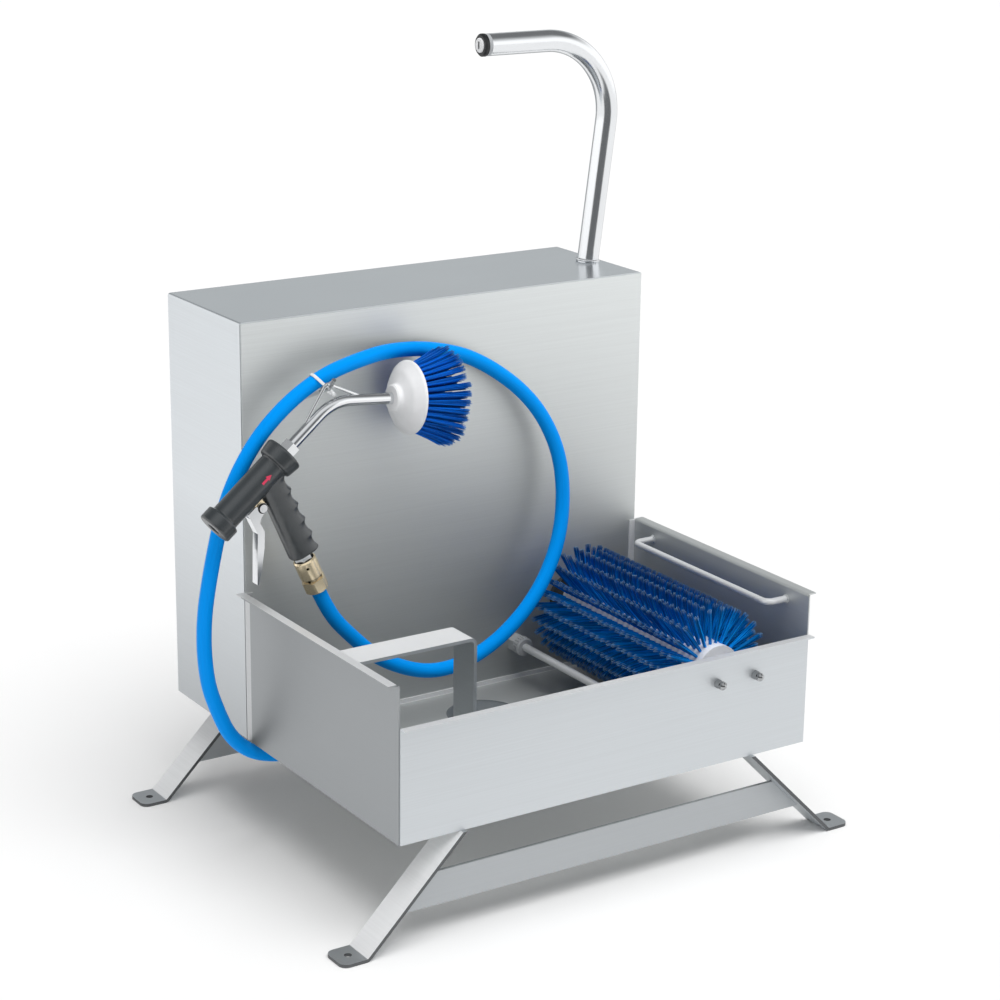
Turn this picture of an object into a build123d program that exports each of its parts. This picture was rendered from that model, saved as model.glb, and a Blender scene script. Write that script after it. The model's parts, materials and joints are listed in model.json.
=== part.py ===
from build123d import *
import math
import os

# Boot washer: a floor-standing stainless tray with a motor-driven brush roller, a service
# housing behind it, a handrail with a start button, and a wash brush on a hose.
# Sizes are millimetres. +X is the user's right, +Y the back, +Z up. The origin lies on the
# floor, midway between the four anchor holes.

# Body
body_width = 700.0
tray_depth = 437.0
housing_depth = 230.0
housing_height = 630.0
front_wall_height = 170.0
side_wall_height = 230.0
sheet = 2.0
sheet_bend = 3.0
tray_flange = 14.0
flange_setback = 6.0
return_flange = 10.0
rear_upstand = 7.0
corner_seam = 1.5
cover_flange = 14.0
cover_gap = 0.5

# Stand
stand_height = 155.0
anchor_outset = 70.0
anchor_hole = 11.0
foot_end = 22.0
foot_corner = 12.0
leg_width = 50.0
leg_thickness = 5.0
leg_slope = 45.0
leg_bend = 7.5
leg_bend_inset = 17.0
front_leg_inset = 18.0
rear_leg_inset = 33.0
crossbar_height = 50.0
crossbar_thickness = 5.0
crossbar_clear = 45.0

# Tray fittings
drain_from_panel = 100.0
drain_dish = 112.0
drain_depth = 6.0
drain_outer = 54.0
drain_length = 50.0
footrest_length = 244.0
footrest_width = 55.0
footrest_thickness = 5.0
footrest_rise = 190.0
footrest_from_panel = 215.0
footrest_bend = 8.0
rail_diameter = 10.0
rail_rise = 209.0
rail_front_inset = 54.0
rail_rear_inset = 52.0
rail_stand_off = 36.0
rail_bend = 12.0

# Brush roller
roller_from_side = 133.0
roller_rise = 126.0
roller_length = 350.0
roller_rear_gap = 43.0
core_diameter = 80.0
core_skin = 3.0
shaft_diameter = 20.0
brush_diameter = 190.0
tuft_rows = 20
tufts_in_row = 20
tuft_pitch = 17.3
tuft_shift = 3.0
tuft_root = 5.2
tuft_tip = 10.4
tuft_gap_angle = 150.7

# Front bearing
stud_spacing = 68.0
stud_diameter = 8.0
bearing_boss = 56.0
bearing_length = 24.0
bearing_flange_height = 34.0
bearing_flange = 10.0
bush_outer = 26.0
bush_end = 3.0
stud_depth = 8.0
nut_flats = 13.0
nut_height = 10.0
nut_dome = [(0.0, 12.0), (3.75, 11.5), (6.4, 6.5), (7.5, 2.0)]

# Drive
seal_outer = 60.0
seal_length = 8.0
panel_shaft_hole = 44.0
bracket_width = 160.0
bracket_drop = 70.0
bracket_rise = 42.0
bracket_thickness = 6.0
gearbox_size = 90.0
gearbox_length = 80.0
gearbox_corner = 12.0
shaft_in_gearbox = 60.0
motor_diameter = 100.0
motor_height = 220.0
motor_offset = 10.0
motor_flange = 90.0
motor_flange_length = 12.0
motor_cap_length = 40.0
motor_cap_chamfer = 4.0
motor_barrel = 88.0
motor_fins = 12
motor_fin_reach = 49.0
motor_fin_thickness = 3.0

# Water
spray_pipe_from_roller = 93.0
spray_pipe_rise = 62.0
spray_pipe = 12.0
pipe_wall = 1.0
spray_holes = 8
spray_hole = 2.4
spray_hole_pitch = 40.0
gland_flats = 27.0
gland_body = 14.0
gland_nut_outer = 30.0
gland_nut_length = 14.0
gland_nut_chamfer = 2.5
gland_grooves = 18
gland_groove = 2.4
gland_thread = 20.0
gland_tail = 5.0
holder_outer = 18.0
holder_length = 12.0
valve_from_elbow = 129.0
valve_length = 70.0
valve_size = 50.0
valve_corner = 8.0
coil_diameter = 36.0
coil_height = 40.0
feed_bend = 18.0
inlet_pipe = 20.0
inlet_flange = 40.0
inlet_flange_length = 6.0
inlet_thread = 26.4
inlet_length = 24.0
inlet_wall = 3.0
elbow_from_side = 201.0
elbow_from_panel = 31.0
elbow_drop = 44.0
elbow_rise = 20.0
elbow_pipe = 21.0
elbow_bend = 20.0
elbow_nut = 34.0
elbow_nut_height = 6.0
tail_length = 55.0
tail_heading = 190.6
ferrule_outer = 27.0
ferrule_length = 30.0

# Electrics
control_from_side = 50.0
control_width = 200.0
control_depth = 70.0
control_height = 150.0
control_rise = 450.0
control_corner = 8.0
cable_gland_from_side = 100.0
cable_gland_rise = 60.0
cable_gland_outer = 24.0
cable_gland_length = 22.0
cable_gland_grip = 13.0
cable_gland_thread = 16.0
cable_hole = 16.0

# Cover screws
screw_diameter = 5.0
screw_head = 9.0
screw_head_height = 2.8
screw_inset = 7.0

# Handrail and start button
handle_diameter = 33.7
handle_wall = 2.0
handle_inset = 23.0
handle_depth = 115.0
handle_rise = 349.0
handle_lean = 7.5
handle_bend = 115.0
handle_end_from_side = 216.0
switch_ferrule_length = 6.0
switch_bezel_length = 7.0
switch_bezel_proud = 0.45
switch_bezel_chamfer = 2.5
switch_body_gap = 0.35
switch_body_length = 18.0
button_diameter = 22.0
button_proud = 2.5
button_chamfer = 1.0
button_travel = 3.0
switch_block_length = 30.0
switch_block_outer = 27.0

# Hook for the wash gun
hook_from_side = 96.0
hook_rise = 541.4
hook_diameter = 6.0
hook_reach = 86.0
hook_slope = 22.0
hook_tip_out = 12.0
hook_tip_up = 15.0
hook_bend = 8.0

# Wash gun, in a plane parallel to the panel
gun_stand_off = 80.0
gun_from_hook_x = -100.9
gun_from_hook_z = -110.1
barrel_angle = 39.8
grip_angle = -66.4
barrel_diameter = 41.0
barrel_rear = -107.7
barrel_front = 40.5
rear_cap_diameter = 52.0
rear_cap_length = 20.0
rear_cap_chamfer = 2.0
cover_step = 2.0
rear_recess = 20.0
rear_recess_depth = 10.0
collar_diameter = 58.5
collar_rear_diameter = 52.5
collar_length = 22.5
collar_lip = 4.0
collar_lip_drop = 1.5
cover_bore = 28.0
grip_length = 140.0
grip_rear = 19.0
grip_front = 28.0
grip_thickness = 33.0
grip_corner = 13.0
grip_peak = 38.0
grip_lean = 3.6
finger_pitch = 25.4
finger_depth = 4.0
finger_first = -1
finger_grooves = 5
stem_diameter = 20.0
valve_front = 42.0
spindle_diameter = 8.0
spindle_rear = -103.0
spindle_front = 8.0
spindle_room = 15.0

# Gun lever
pivot_along = -37.6
pivot_across = -30.9
pivot_diameter = 8.0
pivot_head = 12.0
pivot_head_length = 2.5
tongue_width = 10.0
tongue_radius = 8.0
lever_width = 15.0
lever_wall = 2.0
lever_boss = 8.0
lever_length = 112.0
lever_depth = 10.5
lever_tab_start = -22.0
lever_tab_end = -6.0
lever_tab_across = 9.4
lever_front = [(2, 6), (13, -2), (21, -4.5), (35, 2.5), (60, 1.5), (90, -3), (112, -8)]
lever_spine = [(60, 1), (37, 2)]
lever_hollow_top = 12.0
lever_hollow_start = -30.0
lever_hollow_end = 20.0
lever_hollow_room = 10.0
lever_hollow_throat = (14, -18)
lever_end_wall = 3.0

# Lance and hand brush
lance_diameter = 17.2
lance_wall = 1.6
lance_nut_flats = 24.0
lance_nut_length = 14.0
lance_corner_along = 141.2
lance_bend = 70.0
lance_end_angle = -5.2
lance_end_run = 104.6
hanger_wire_diameter = 5.0
hanger_left_angle = 57.0
hanger_right_angle = -25.0
hanger_left_leg = 62.0
hanger_right_leg = 60.0
head_diameter = 108.0
head_hub = 40.0
head_depth = 21.4
head_dish = 6.5
head_shoulder = 78.0
head_lip = 4.0
head_socket = 8.0
head_hub_chamfer = 2.0
head_hub_round = 4.5
head_shoulder_round = 20.0
head_rim = 1.0
hand_rings = (6, 12, 18, 26, 34)
hand_ring_step = 9.0
hand_tuft_length = 68.0
hand_tip_radius = 70.0
hand_tip_drop = 12.0
hand_tuft_root = 4.0
hand_tuft_tip = 5.4

# Hose and coupling
nipple_flats = 24.0
nipple_length = 8.0
coupling_sleeve = 34.0
coupling_sleeve_length = 30.0
coupling_groove = 29.0
coupling_groove_length = 4.0
coupling_nut = 36.0
coupling_nut_length = 20.0
coupling_nut_flats = 33.0
coupling_chamfer = 2.0
coupling_step = 1.0
coupling_holes = 4
coupling_hole = 4.5
coupling_hole_depth = 3.0
sleeve_hole_place = 10.0
sleeve_hole_turn = -23.0
groove_hole_turn = -47.0
hose_diameter = 22.0
hose_end_run = 45.0
hose_start_run = 50.0
hose_bend_share = 0.45
tie_distance = 790.0
tie_lean = 18.0
tie_hose_room = 0.9
tie_width = 4.5
tie_thickness = 1.3
tie_wire_room = 5.0

# Clearances
running_gap = 0.05
seat_gap = 0.1
hang_gap = 0.3
fork_gap = 0.5
bolt_gap = 0.4

# Limits of the body
anchor_y = (tray_depth + housing_depth - front_leg_inset - rear_leg_inset) / 2
y_front = -anchor_y - front_leg_inset
y_panel = y_front + tray_depth
y_back = y_panel + housing_depth
x_side = body_width / 2
anchor_x = x_side + anchor_outset
z_base = stand_height
z_floor = z_base + sheet
z_top = z_base + housing_height
y_panel_back = y_panel + sheet
y_cover = y_back - sheet

# Places of the fittings
drain_y = y_panel - drain_from_panel
footrest_y = y_panel - footrest_from_panel
rail_front_y = y_front + rail_front_inset
rail_rear_y = y_panel - rail_rear_inset
roller_x = x_side - roller_from_side
roller_z = z_base + roller_rise
roller_rear = y_panel - roller_rear_gap
roller_front = roller_rear - roller_length
spray_pipe_x = roller_x - spray_pipe_from_roller
pipe_z = z_base + spray_pipe_rise
pipe_bore = spray_pipe - 2 * pipe_wall
y_wall_inner = y_front + sheet
elbow_x = -x_side + elbow_from_side
elbow_y = y_panel + elbow_from_panel
valve_x = elbow_x + valve_from_elbow
control_x = -x_side + control_from_side
cable_gland_x = x_side - cable_gland_from_side
handle_end_x = x_side - handle_end_from_side
switch_body = handle_diameter - 2 * (handle_wall + switch_body_gap)
switch_bezel_outer = handle_diameter + 2 * switch_bezel_proud
hook_x = -x_side + hook_from_side
hook_z = z_base + hook_rise
gun_x = hook_x + gun_from_hook_x
gun_y = y_panel - gun_stand_off
gun_z = hook_z + gun_from_hook_z

# Hose route: middle points of the control line between the outlet elbow and the gun
hose_points = [
    (-300, 114, 118),
    (-348, 106, 136),
    (-385, 98, 171),
    (-408, 91, 218),
    (-427, 87, 272),
    (-432, 84, 356),
    (-419, 81, 440),
    (-396, 77, 540),
    (-356, 70, 618),
    (-306, 62, 672),
    (-248, 58, 708),
    (-184, 67, 721),
    (-118, 86, 724),
    (-40, 94, 715),
    (38, 93, 690),
    (125, 83, 624),
    (170, 72, 544),
    (177, 61, 462),
    (153, 43, 384),
    (100, 29, 312),
    (20, 29, 250),
    (-72, 31, 228),
    (-165, 31, 266),
    (-219, 31, 318),
]


def direction(angle):
    """Unit vector in the X-Z plane, the angle counted from +X towards +Z."""
    return Vector(math.cos(math.radians(angle)), 0, math.sin(math.radians(angle)))


def block(x0, x1, y0, y1, z0, z1):
    """Box between two limits on each axis."""
    centre = Pos((x0 + x1) / 2, (y0 + y1) / 2, (z0 + z1) / 2)
    return centre * Box(x1 - x0, y1 - y0, z1 - z0)


def rod(start, axis, length, diameter):
    """Round bar of the given length from a start point along an axis."""
    bar = Cylinder(diameter / 2, length, align=(Align.CENTER, Align.CENTER, Align.MIN))
    return Plane(start, z_dir=axis) * bar


def hexagon(start, axis, length, flats):
    """Hexagonal bar from a start point along an axis."""
    return Plane(start, z_dir=axis) * extrude(RegularPolygon(flats / 2, 6, major_radius=False), length)


def turned(start, axis, profile, rounds=()):
    """Turned body; the profile lists (distance along the axis, diameter), rounds (profile point, radius)."""
    outline = [(0, profile[0][0])]
    outline += [(diameter / 2, along) for along, diameter in profile]
    outline += [(0, profile[-1][0])]
    face = make_face(Polyline(*outline, close=True))
    for (along, diameter), radius in rounds:
        face = fillet(face.vertices().sort_by_distance((diameter / 2, along))[0], radius)
    return Plane(start, z_dir=axis) * revolve(Plane.XZ * face, Axis.Z)


def across_y(face, y0, y1):
    """Face drawn as (X, Z), extruded between two values of Y."""
    return extrude(Plane.XZ.offset(-y1) * face, y1 - y0, dir=(0, -1, 0))


def along_x(face, x0, x1):
    """Face drawn as (Y, Z), extruded between two values of X."""
    return extrude(Plane.YZ.offset(x0) * face, x1 - x0, dir=(1, 0, 0))


def strip(points, bend, thickness):
    """Section of a bent flat bar or sheet along its middle line."""
    return trace(FilletPolyline(*points, radius=bend), thickness)


def bent_tube(points, bend, outer, inner=0.0):
    """Round bar or tube along straight runs joined by arcs."""
    path = FilletPolyline(*points, radius=bend)
    section = Circle(outer / 2)
    if inner:
        section -= Circle(inner / 2)
    return sweep(Plane(path @ 0, z_dir=path % 0) * section, path=path)


def leg_underside(z):
    """X of the right-hand legs' sloping underside at a height."""
    bend = anchor_x - leg_bend_inset - leg_thickness * math.tan(math.radians(leg_slope / 2))
    return bend - z / math.tan(math.radians(leg_slope))


def gun_point(along, across=0.0, side=0.0):
    """Point of the gun: along its barrel, square to it in the gun's plane, and sideways."""
    barrel = direction(barrel_angle)
    normal = direction(barrel_angle + 90)
    return Vector(gun_x, gun_y + side, gun_z) + barrel * along + normal * across


def grip_point(along, forward=0.0):
    """Point of the gun: down its grip, and forward of the grip's axis."""
    return Vector(gun_x, gun_y, gun_z) + direction(grip_angle) * along + direction(grip_angle + 90) * forward


def flat(points):
    """Closed outline through points, as (X, Z)."""
    return make_face(Polyline(*[(p.X, p.Z) for p in points], close=True))


def stand():
    """Four bent flat-bar legs and the two crossbars between them."""
    slope = math.radians(leg_slope)
    half = leg_thickness / 2
    bend_x = anchor_x - leg_bend_inset - half * math.tan(slope / 2)
    rise = stand_height + leg_thickness
    line = [
        (anchor_x + foot_end, half),
        (bend_x, half),
        (bend_x - rise / math.tan(slope), half + rise),
    ]
    leg = across_y(strip(line, leg_bend, leg_thickness), anchor_y - leg_width / 2, anchor_y + leg_width / 2)
    leg -= block(0, anchor_x, 0, 2 * anchor_y, stand_height, 2 * stand_height)
    corners = leg.edges().filter_by(Axis.Z).group_by(Axis.X)[-1]
    leg = fillet(corners, foot_corner)
    leg -= rod((anchor_x, anchor_y, 0), (0, 0, 1), leg_thickness, anchor_hole)
    low = crossbar_clear
    high = crossbar_clear + crossbar_height
    outline = Polyline(
        (-leg_underside(low), low),
        (leg_underside(low), low),
        (leg_underside(high), high),
        (-leg_underside(high), high),
        close=True,
    )
    inner = anchor_y - crossbar_thickness / 2
    bar = across_y(make_face(outline), inner, inner + crossbar_thickness)
    left = mirror(leg, about=Plane.YZ)
    return {
        "rear_right_leg": leg,
        "rear_left_leg": left,
        "front_right_leg": mirror(leg, about=Plane.XZ),
        "front_left_leg": mirror(left, about=Plane.XZ),
        "rear_crossbar": bar,
        "front_crossbar": mirror(bar, about=Plane.XZ),
    }


def tray():
    """Floor, front wall and side walls of the wash tray."""
    half = sheet / 2
    inner = x_side - sheet
    floor = block(-inner, inner, y_wall_inner, y_panel, z_base, z_floor)
    strip_end = inner - return_flange
    floor += block(-strip_end, strip_end, y_panel - sheet, y_panel, z_floor, z_floor + rear_upstand)
    floor -= rod((0, drain_y, z_base), (0, 0, 1), sheet, drain_dish + 2 * seat_gap)

    front_top = z_base + front_wall_height
    line = [
        (y_front - tray_flange, front_top - half),
        (y_front + half, front_top - half),
        (y_front + half, z_base),
    ]
    front = along_x(strip(line, sheet_bend, sheet), -x_side + corner_seam, x_side - corner_seam)
    for side in (-1, 1):
        stud = (roller_x + side * stud_spacing / 2, y_front, roller_z)
        front -= rod(stud, (0, 1, 0), sheet, stud_diameter + bolt_gap)

    side_top = z_base + side_wall_height
    line = [
        (-x_side - tray_flange, side_top - half),
        (-x_side + half, side_top - half),
        (-x_side + half, z_base),
    ]
    wall = across_y(strip(line, sheet_bend, sheet), y_wall_inner, y_panel)
    wall -= block(-x_side - tray_flange, -x_side, y_wall_inner, y_front + flange_setback, z_base, side_top)
    wall += block(-inner, -inner + return_flange, y_panel - sheet, y_panel, z_floor, side_top - sheet)
    return {
        "tray_floor": floor,
        "tray_front_wall": front,
        "tray_left_wall": wall,
        "tray_right_wall": mirror(wall, about=Plane.YZ),
    }


def tray_fittings():
    """Drain, footrest and boot rail inside the tray."""
    dish = turned(
        (0, drain_y, z_floor - drain_depth - drain_length),
        (0, 0, 1),
        [
            (0, drain_outer),
            (drain_length - sheet, drain_outer),
            (drain_length + drain_depth - sheet, drain_dish),
            (drain_length + drain_depth, drain_dish),
        ],
    )
    bore = drain_outer - 2 * sheet
    throat = turned(
        (0, drain_y, z_floor - drain_depth - drain_length),
        (0, 0, 1),
        [
            (0, bore),
            (drain_length, bore),
            (drain_length + drain_depth, drain_dish - 4 * sheet),
        ],
    )

    left = -x_side + sheet
    right = left + footrest_length - footrest_thickness / 2
    middle = z_base + footrest_rise - footrest_thickness / 2
    line = [(left, middle), (right, middle), (right, z_floor)]
    half_width = footrest_width / 2
    footrest = across_y(
        strip(line, footrest_bend, footrest_thickness), footrest_y - half_width, footrest_y + half_width
    )

    wall = x_side - sheet
    rail_x = wall - rail_stand_off
    rail_z = z_base + rail_rise
    rail = bent_tube(
        [
            (wall, rail_rear_y, rail_z),
            (rail_x, rail_rear_y, rail_z),
            (rail_x, rail_front_y, rail_z),
            (wall, rail_front_y, rail_z),
        ],
        rail_bend,
        rail_diameter,
    )
    return {"drain_outlet": dish - throat, "footrest": footrest, "boot_rail": rail}


def cover_screw_places():
    """X and Z of the back cover's screws."""
    x = x_side - sheet - screw_inset
    low = z_floor + cover_flange
    high = z_top - sheet - screw_inset
    sides = [(side * x, z) for side in (-1, 1) for z in (low, (low + high) / 2, high)]
    return sides + [(-x / 3, high), (x / 3, high)]


def housing():
    """Front panel, wrapped sides and top, floor and screwed back cover."""
    half = sheet / 2
    inner = x_side - sheet
    panel_x = x_side - corner_seam
    panel = block(-panel_x, panel_x, y_panel, y_panel_back, z_base, z_top - corner_seam)
    panel -= rod((roller_x, y_panel, roller_z), (0, 1, 0), sheet, panel_shaft_hole)
    panel -= rod((spray_pipe_x, y_panel, pipe_z), (0, 1, 0), sheet, gland_thread + 2 * seat_gap)

    wall = inner + half
    line = [(-wall, z_base), (-wall, z_top - half), (wall, z_top - half), (wall, z_base)]
    shell = across_y(strip(line, sheet_bend, sheet), y_panel_back, y_back)
    lip_front = y_cover - sheet
    for side in (-1, 1):
        edges = sorted((side * inner, side * (inner - cover_flange)))
        shell += block(edges[0], edges[1], lip_front, y_cover, z_floor, z_top - sheet)
    shell += block(-inner, inner, lip_front, y_cover, z_top - sheet - cover_flange, z_top - sheet)
    cable_way = (x_side - handle_inset, y_panel + handle_depth, z_top - sheet)
    shell -= rod(cable_way, (0, 0, 1), sheet, cable_hole)

    floor = block(-inner, inner, y_panel_back, y_cover, z_base, z_floor)
    floor -= rod((elbow_x, elbow_y, z_base), (0, 0, 1), sheet, elbow_pipe + 2 * seat_gap)

    edge = inner - cover_gap
    cover = block(-edge, edge, y_cover, y_back, z_floor + cover_gap, z_top - sheet - cover_gap)
    cover = fillet(cover.edges().filter_by(Axis.Y).group_by(Axis.Z)[-1], sheet_bend)
    cover -= rod((valve_x, y_cover, pipe_z), (0, 1, 0), sheet, inlet_pipe + 2 * seat_gap)
    gland_place = (cable_gland_x, y_cover, z_base + cable_gland_rise)
    cover -= rod(gland_place, (0, 1, 0), sheet, cable_gland_thread + 2 * seat_gap)
    screws = []
    for x, z in cover_screw_places():
        hole = rod((x, lip_front, z), (0, 1, 0), 2 * sheet, screw_diameter + bolt_gap)
        cover -= hole
        shell -= hole
        screw = rod((x, lip_front, z), (0, 1, 0), 2 * sheet, screw_diameter)
        screws.append(screw + rod((x, y_back, z), (0, 1, 0), screw_head_height, screw_head))
    return {
        "housing_panel": panel,
        "housing_shell": shell,
        "housing_floor": floor,
        "back_cover": cover,
        "cover_screws": Compound(screws),
    }


def handrail():
    """Leaning handrail tube with the start button in its free end."""
    x = x_side - handle_inset
    y = y_panel + handle_depth
    lean = math.tan(math.radians(handle_lean))
    rail_z = z_top + handle_rise
    points = [
        (x - handle_diameter * lean, y, z_top - handle_diameter),
        (x + handle_rise * lean, y, rail_z),
        (handle_end_x, y, rail_z),
    ]
    bore = handle_diameter - 2 * handle_wall
    tube = bent_tube(points, handle_bend, handle_diameter, bore)
    tube -= block(0, body_width, y_panel, y_back, z_base, z_top)

    out = (-1, 0, 0)
    tube_end = (handle_end_x, y, rail_z)
    ferrule = rod(tube_end, out, switch_ferrule_length, handle_diameter)
    ferrule -= rod(tube_end, out, switch_ferrule_length, switch_body + 2 * seat_gap)
    bezel_x = handle_end_x - switch_ferrule_length
    face_x = bezel_x - switch_bezel_length
    body_x = handle_end_x + switch_body_length
    bezel = turned(
        (face_x, y, rail_z),
        (1, 0, 0),
        [
            (0, switch_bezel_outer - 2 * switch_bezel_chamfer),
            (switch_bezel_chamfer, switch_bezel_outer),
            (switch_bezel_length, switch_bezel_outer),
            (switch_bezel_length, switch_body),
            (body_x - face_x, switch_body),
        ],
    )
    bezel -= rod((face_x, y, rail_z), (1, 0, 0), body_x - face_x, button_diameter + 2 * running_gap)
    button_face = face_x - button_proud
    button = turned(
        (button_face, y, rail_z),
        (1, 0, 0),
        [
            (0, button_diameter - 2 * button_chamfer),
            (button_chamfer, button_diameter),
            (body_x - button_face - button_travel - seat_gap, button_diameter),
        ],
    )
    switch = rod((body_x, y, rail_z), (1, 0, 0), switch_block_length, switch_block_outer)
    return {
        "handle_tube": tube,
        "switch_ferrule": ferrule,
        "switch_bezel": bezel,
        "start_button": button,
        "switch_block": switch,
    }


def tuft(root, tip, length):
    """One four-sided tuft, widening from its root on the origin along +Z."""
    flare = math.degrees(math.atan((tip - root) / 2 / length))
    return Pos(0, 0, length) * Rot(180, 0, 0) * extrude(Rectangle(tip, tip), length, taper=flare)


def roller():
    """Brush roller: core, shaft, and tufts on the core's outer skin."""
    length_axis = (0, 1, 0)
    start = (roller_x, roller_front, roller_z)
    skin_inner = core_diameter - 2 * core_skin
    row_step = 360 / tuft_rows
    section = RegularPolygon(core_diameter / 2, 2 * tuft_rows, major_radius=False)
    section = Rot(0, 0, row_step * 0.25) * section - Circle(skin_inner / 2)
    skin = Plane(start, x_dir=direction(tuft_gap_angle), z_dir=length_axis) * extrude(section, roller_length)
    root_radius = core_diameter / 2 - core_skin / 2
    strand = tuft(tuft_root, tuft_tip, brush_diameter / 2 - root_radius)
    middle = (roller_front + roller_rear) / 2 + tuft_shift
    strands = []
    for row in range(tuft_rows):
        outward = direction(tuft_gap_angle + row_step * (row + 0.5))
        for place in range(tufts_in_row):
            y = middle + tuft_pitch * (place - (tufts_in_row - 1) / 2)
            root = Vector(roller_x, y, roller_z) + outward * root_radius
            strands.append(Plane(root, x_dir=(0, 1, 0), z_dir=outward) * strand)
    bristles = skin.fuse(*strands)

    core = rod(start, length_axis, roller_length, skin_inner - 2 * seat_gap)
    core -= rod(start, length_axis, roller_length, shaft_diameter + 2 * seat_gap)
    shaft_front = y_wall_inner + bush_end + running_gap
    shaft_rear = y_panel_back + bracket_thickness + shaft_in_gearbox
    shaft = rod((roller_x, shaft_front, roller_z), length_axis, shaft_rear - shaft_front, shaft_diameter)
    return {"roller_bristles": bristles, "roller_core": core, "roller_shaft": shaft}


def front_bearing():
    """Flanged plain bearing behind the front wall, on two studs with dome nuts."""
    back = (0, 1, 0)
    front = (0, -1, 0)
    seat = (roller_x, y_wall_inner, roller_z)
    slot = SlotCenterToCenter(stud_spacing, bearing_flange_height)
    flange_plane = Plane(seat, x_dir=(1, 0, 0), z_dir=back)
    block_body = flange_plane * extrude(slot, bearing_flange)
    block_body += rod(seat, back, bearing_length, bearing_boss)
    bush_seat = (roller_x, y_wall_inner + bush_end, roller_z)
    bush_length = bearing_length - bush_end
    block_body -= rod(bush_seat, back, bush_length, bush_outer + 2 * seat_gap)
    bush = rod(bush_seat, back, bush_length, bush_outer)
    bush -= rod(bush_seat, back, bush_length, shaft_diameter + 2 * running_gap)
    studs = []
    nuts = []
    for side in (-1, 1):
        x = roller_x + side * stud_spacing / 2
        hole_end = (x, y_wall_inner + stud_depth, roller_z)
        block_body -= rod((x, y_wall_inner, roller_z), back, stud_depth, stud_diameter + 2 * seat_gap)
        stud_length = stud_depth + sheet + nut_height
        studs.append(rod(hole_end, front, stud_length, stud_diameter))
        nut_seat = (x, y_front, roller_z)
        nut = hexagon(nut_seat, front, nut_height, nut_flats)
        dome = turned(
            (x, y_front - nut_height, roller_z),
            front,
            nut_dome,
        )
        nuts.append(nut + dome - rod(nut_seat, front, nut_height + seat_gap, stud_diameter + 2 * seat_gap))
    return {
        "front_bearing_block": block_body,
        "front_bearing_bush": bush,
        "bearing_studs": Compound(studs),
        "bearing_cap_nuts": Compound(nuts),
    }


def drive():
    """Shaft seal on the panel, and the gearbox and motor behind it."""
    back = (0, 1, 0)
    seal_start = (roller_x, y_panel - seal_length, roller_z)
    seal = rod(seal_start, back, seal_length, seal_outer)
    seal -= rod(seal_start, back, seal_length, shaft_diameter + 2 * running_gap)

    half = bracket_width / 2
    y_gear = y_panel_back + bracket_thickness
    low = roller_z - bracket_drop
    high = roller_z + bracket_rise
    plate = block(roller_x - half, roller_x + half, y_panel_back, y_gear, low, high)
    plate -= rod((roller_x, y_panel_back, roller_z), back, bracket_thickness, panel_shaft_hole)

    reach = gearbox_size / 2
    case = Box(gearbox_size, gearbox_length, gearbox_size)
    gearbox = Pos(roller_x, y_gear + gearbox_length / 2, roller_z) * case
    gearbox = fillet(gearbox.edges().filter_by(Axis.Y), gearbox_corner)
    socket = shaft_diameter + 2 * running_gap
    gearbox -= rod((roller_x, y_gear, roller_z), back, shaft_in_gearbox + seat_gap, socket)

    motor_y = y_gear + gearbox_length / 2 + motor_offset
    motor_z = roller_z + reach
    cap_start = motor_height - motor_cap_length
    motor = turned(
        (roller_x, motor_y, motor_z),
        (0, 0, 1),
        [
            (0, motor_flange),
            (motor_flange_length, motor_flange),
            (motor_flange_length, motor_barrel),
            (cap_start, motor_barrel),
            (cap_start, motor_diameter),
            (motor_height - motor_cap_chamfer, motor_diameter),
            (motor_height, motor_diameter - 2 * motor_cap_chamfer),
        ],
    )
    half_fin = motor_fin_thickness / 2
    fin = block(0, motor_fin_reach, -half_fin, half_fin, motor_flange_length, cap_start)
    foot = Pos(roller_x, motor_y, motor_z)
    fins = [foot * Rot(0, 0, 360 / motor_fins * i) * fin for i in range(motor_fins)]
    return {"shaft_seal": seal, "motor_bracket": plate, "gearbox": gearbox, "motor": motor.fuse(*fins)}


def elbow_tail():
    """Bend point of the outlet elbow, its tail's direction and the tail's end."""
    bend = Vector(elbow_x, elbow_y, z_base - elbow_drop)
    heading = math.radians(tail_heading)
    axis = Vector(math.cos(heading), math.sin(heading), 0)
    return bend, axis, bend + axis * tail_length


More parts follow.
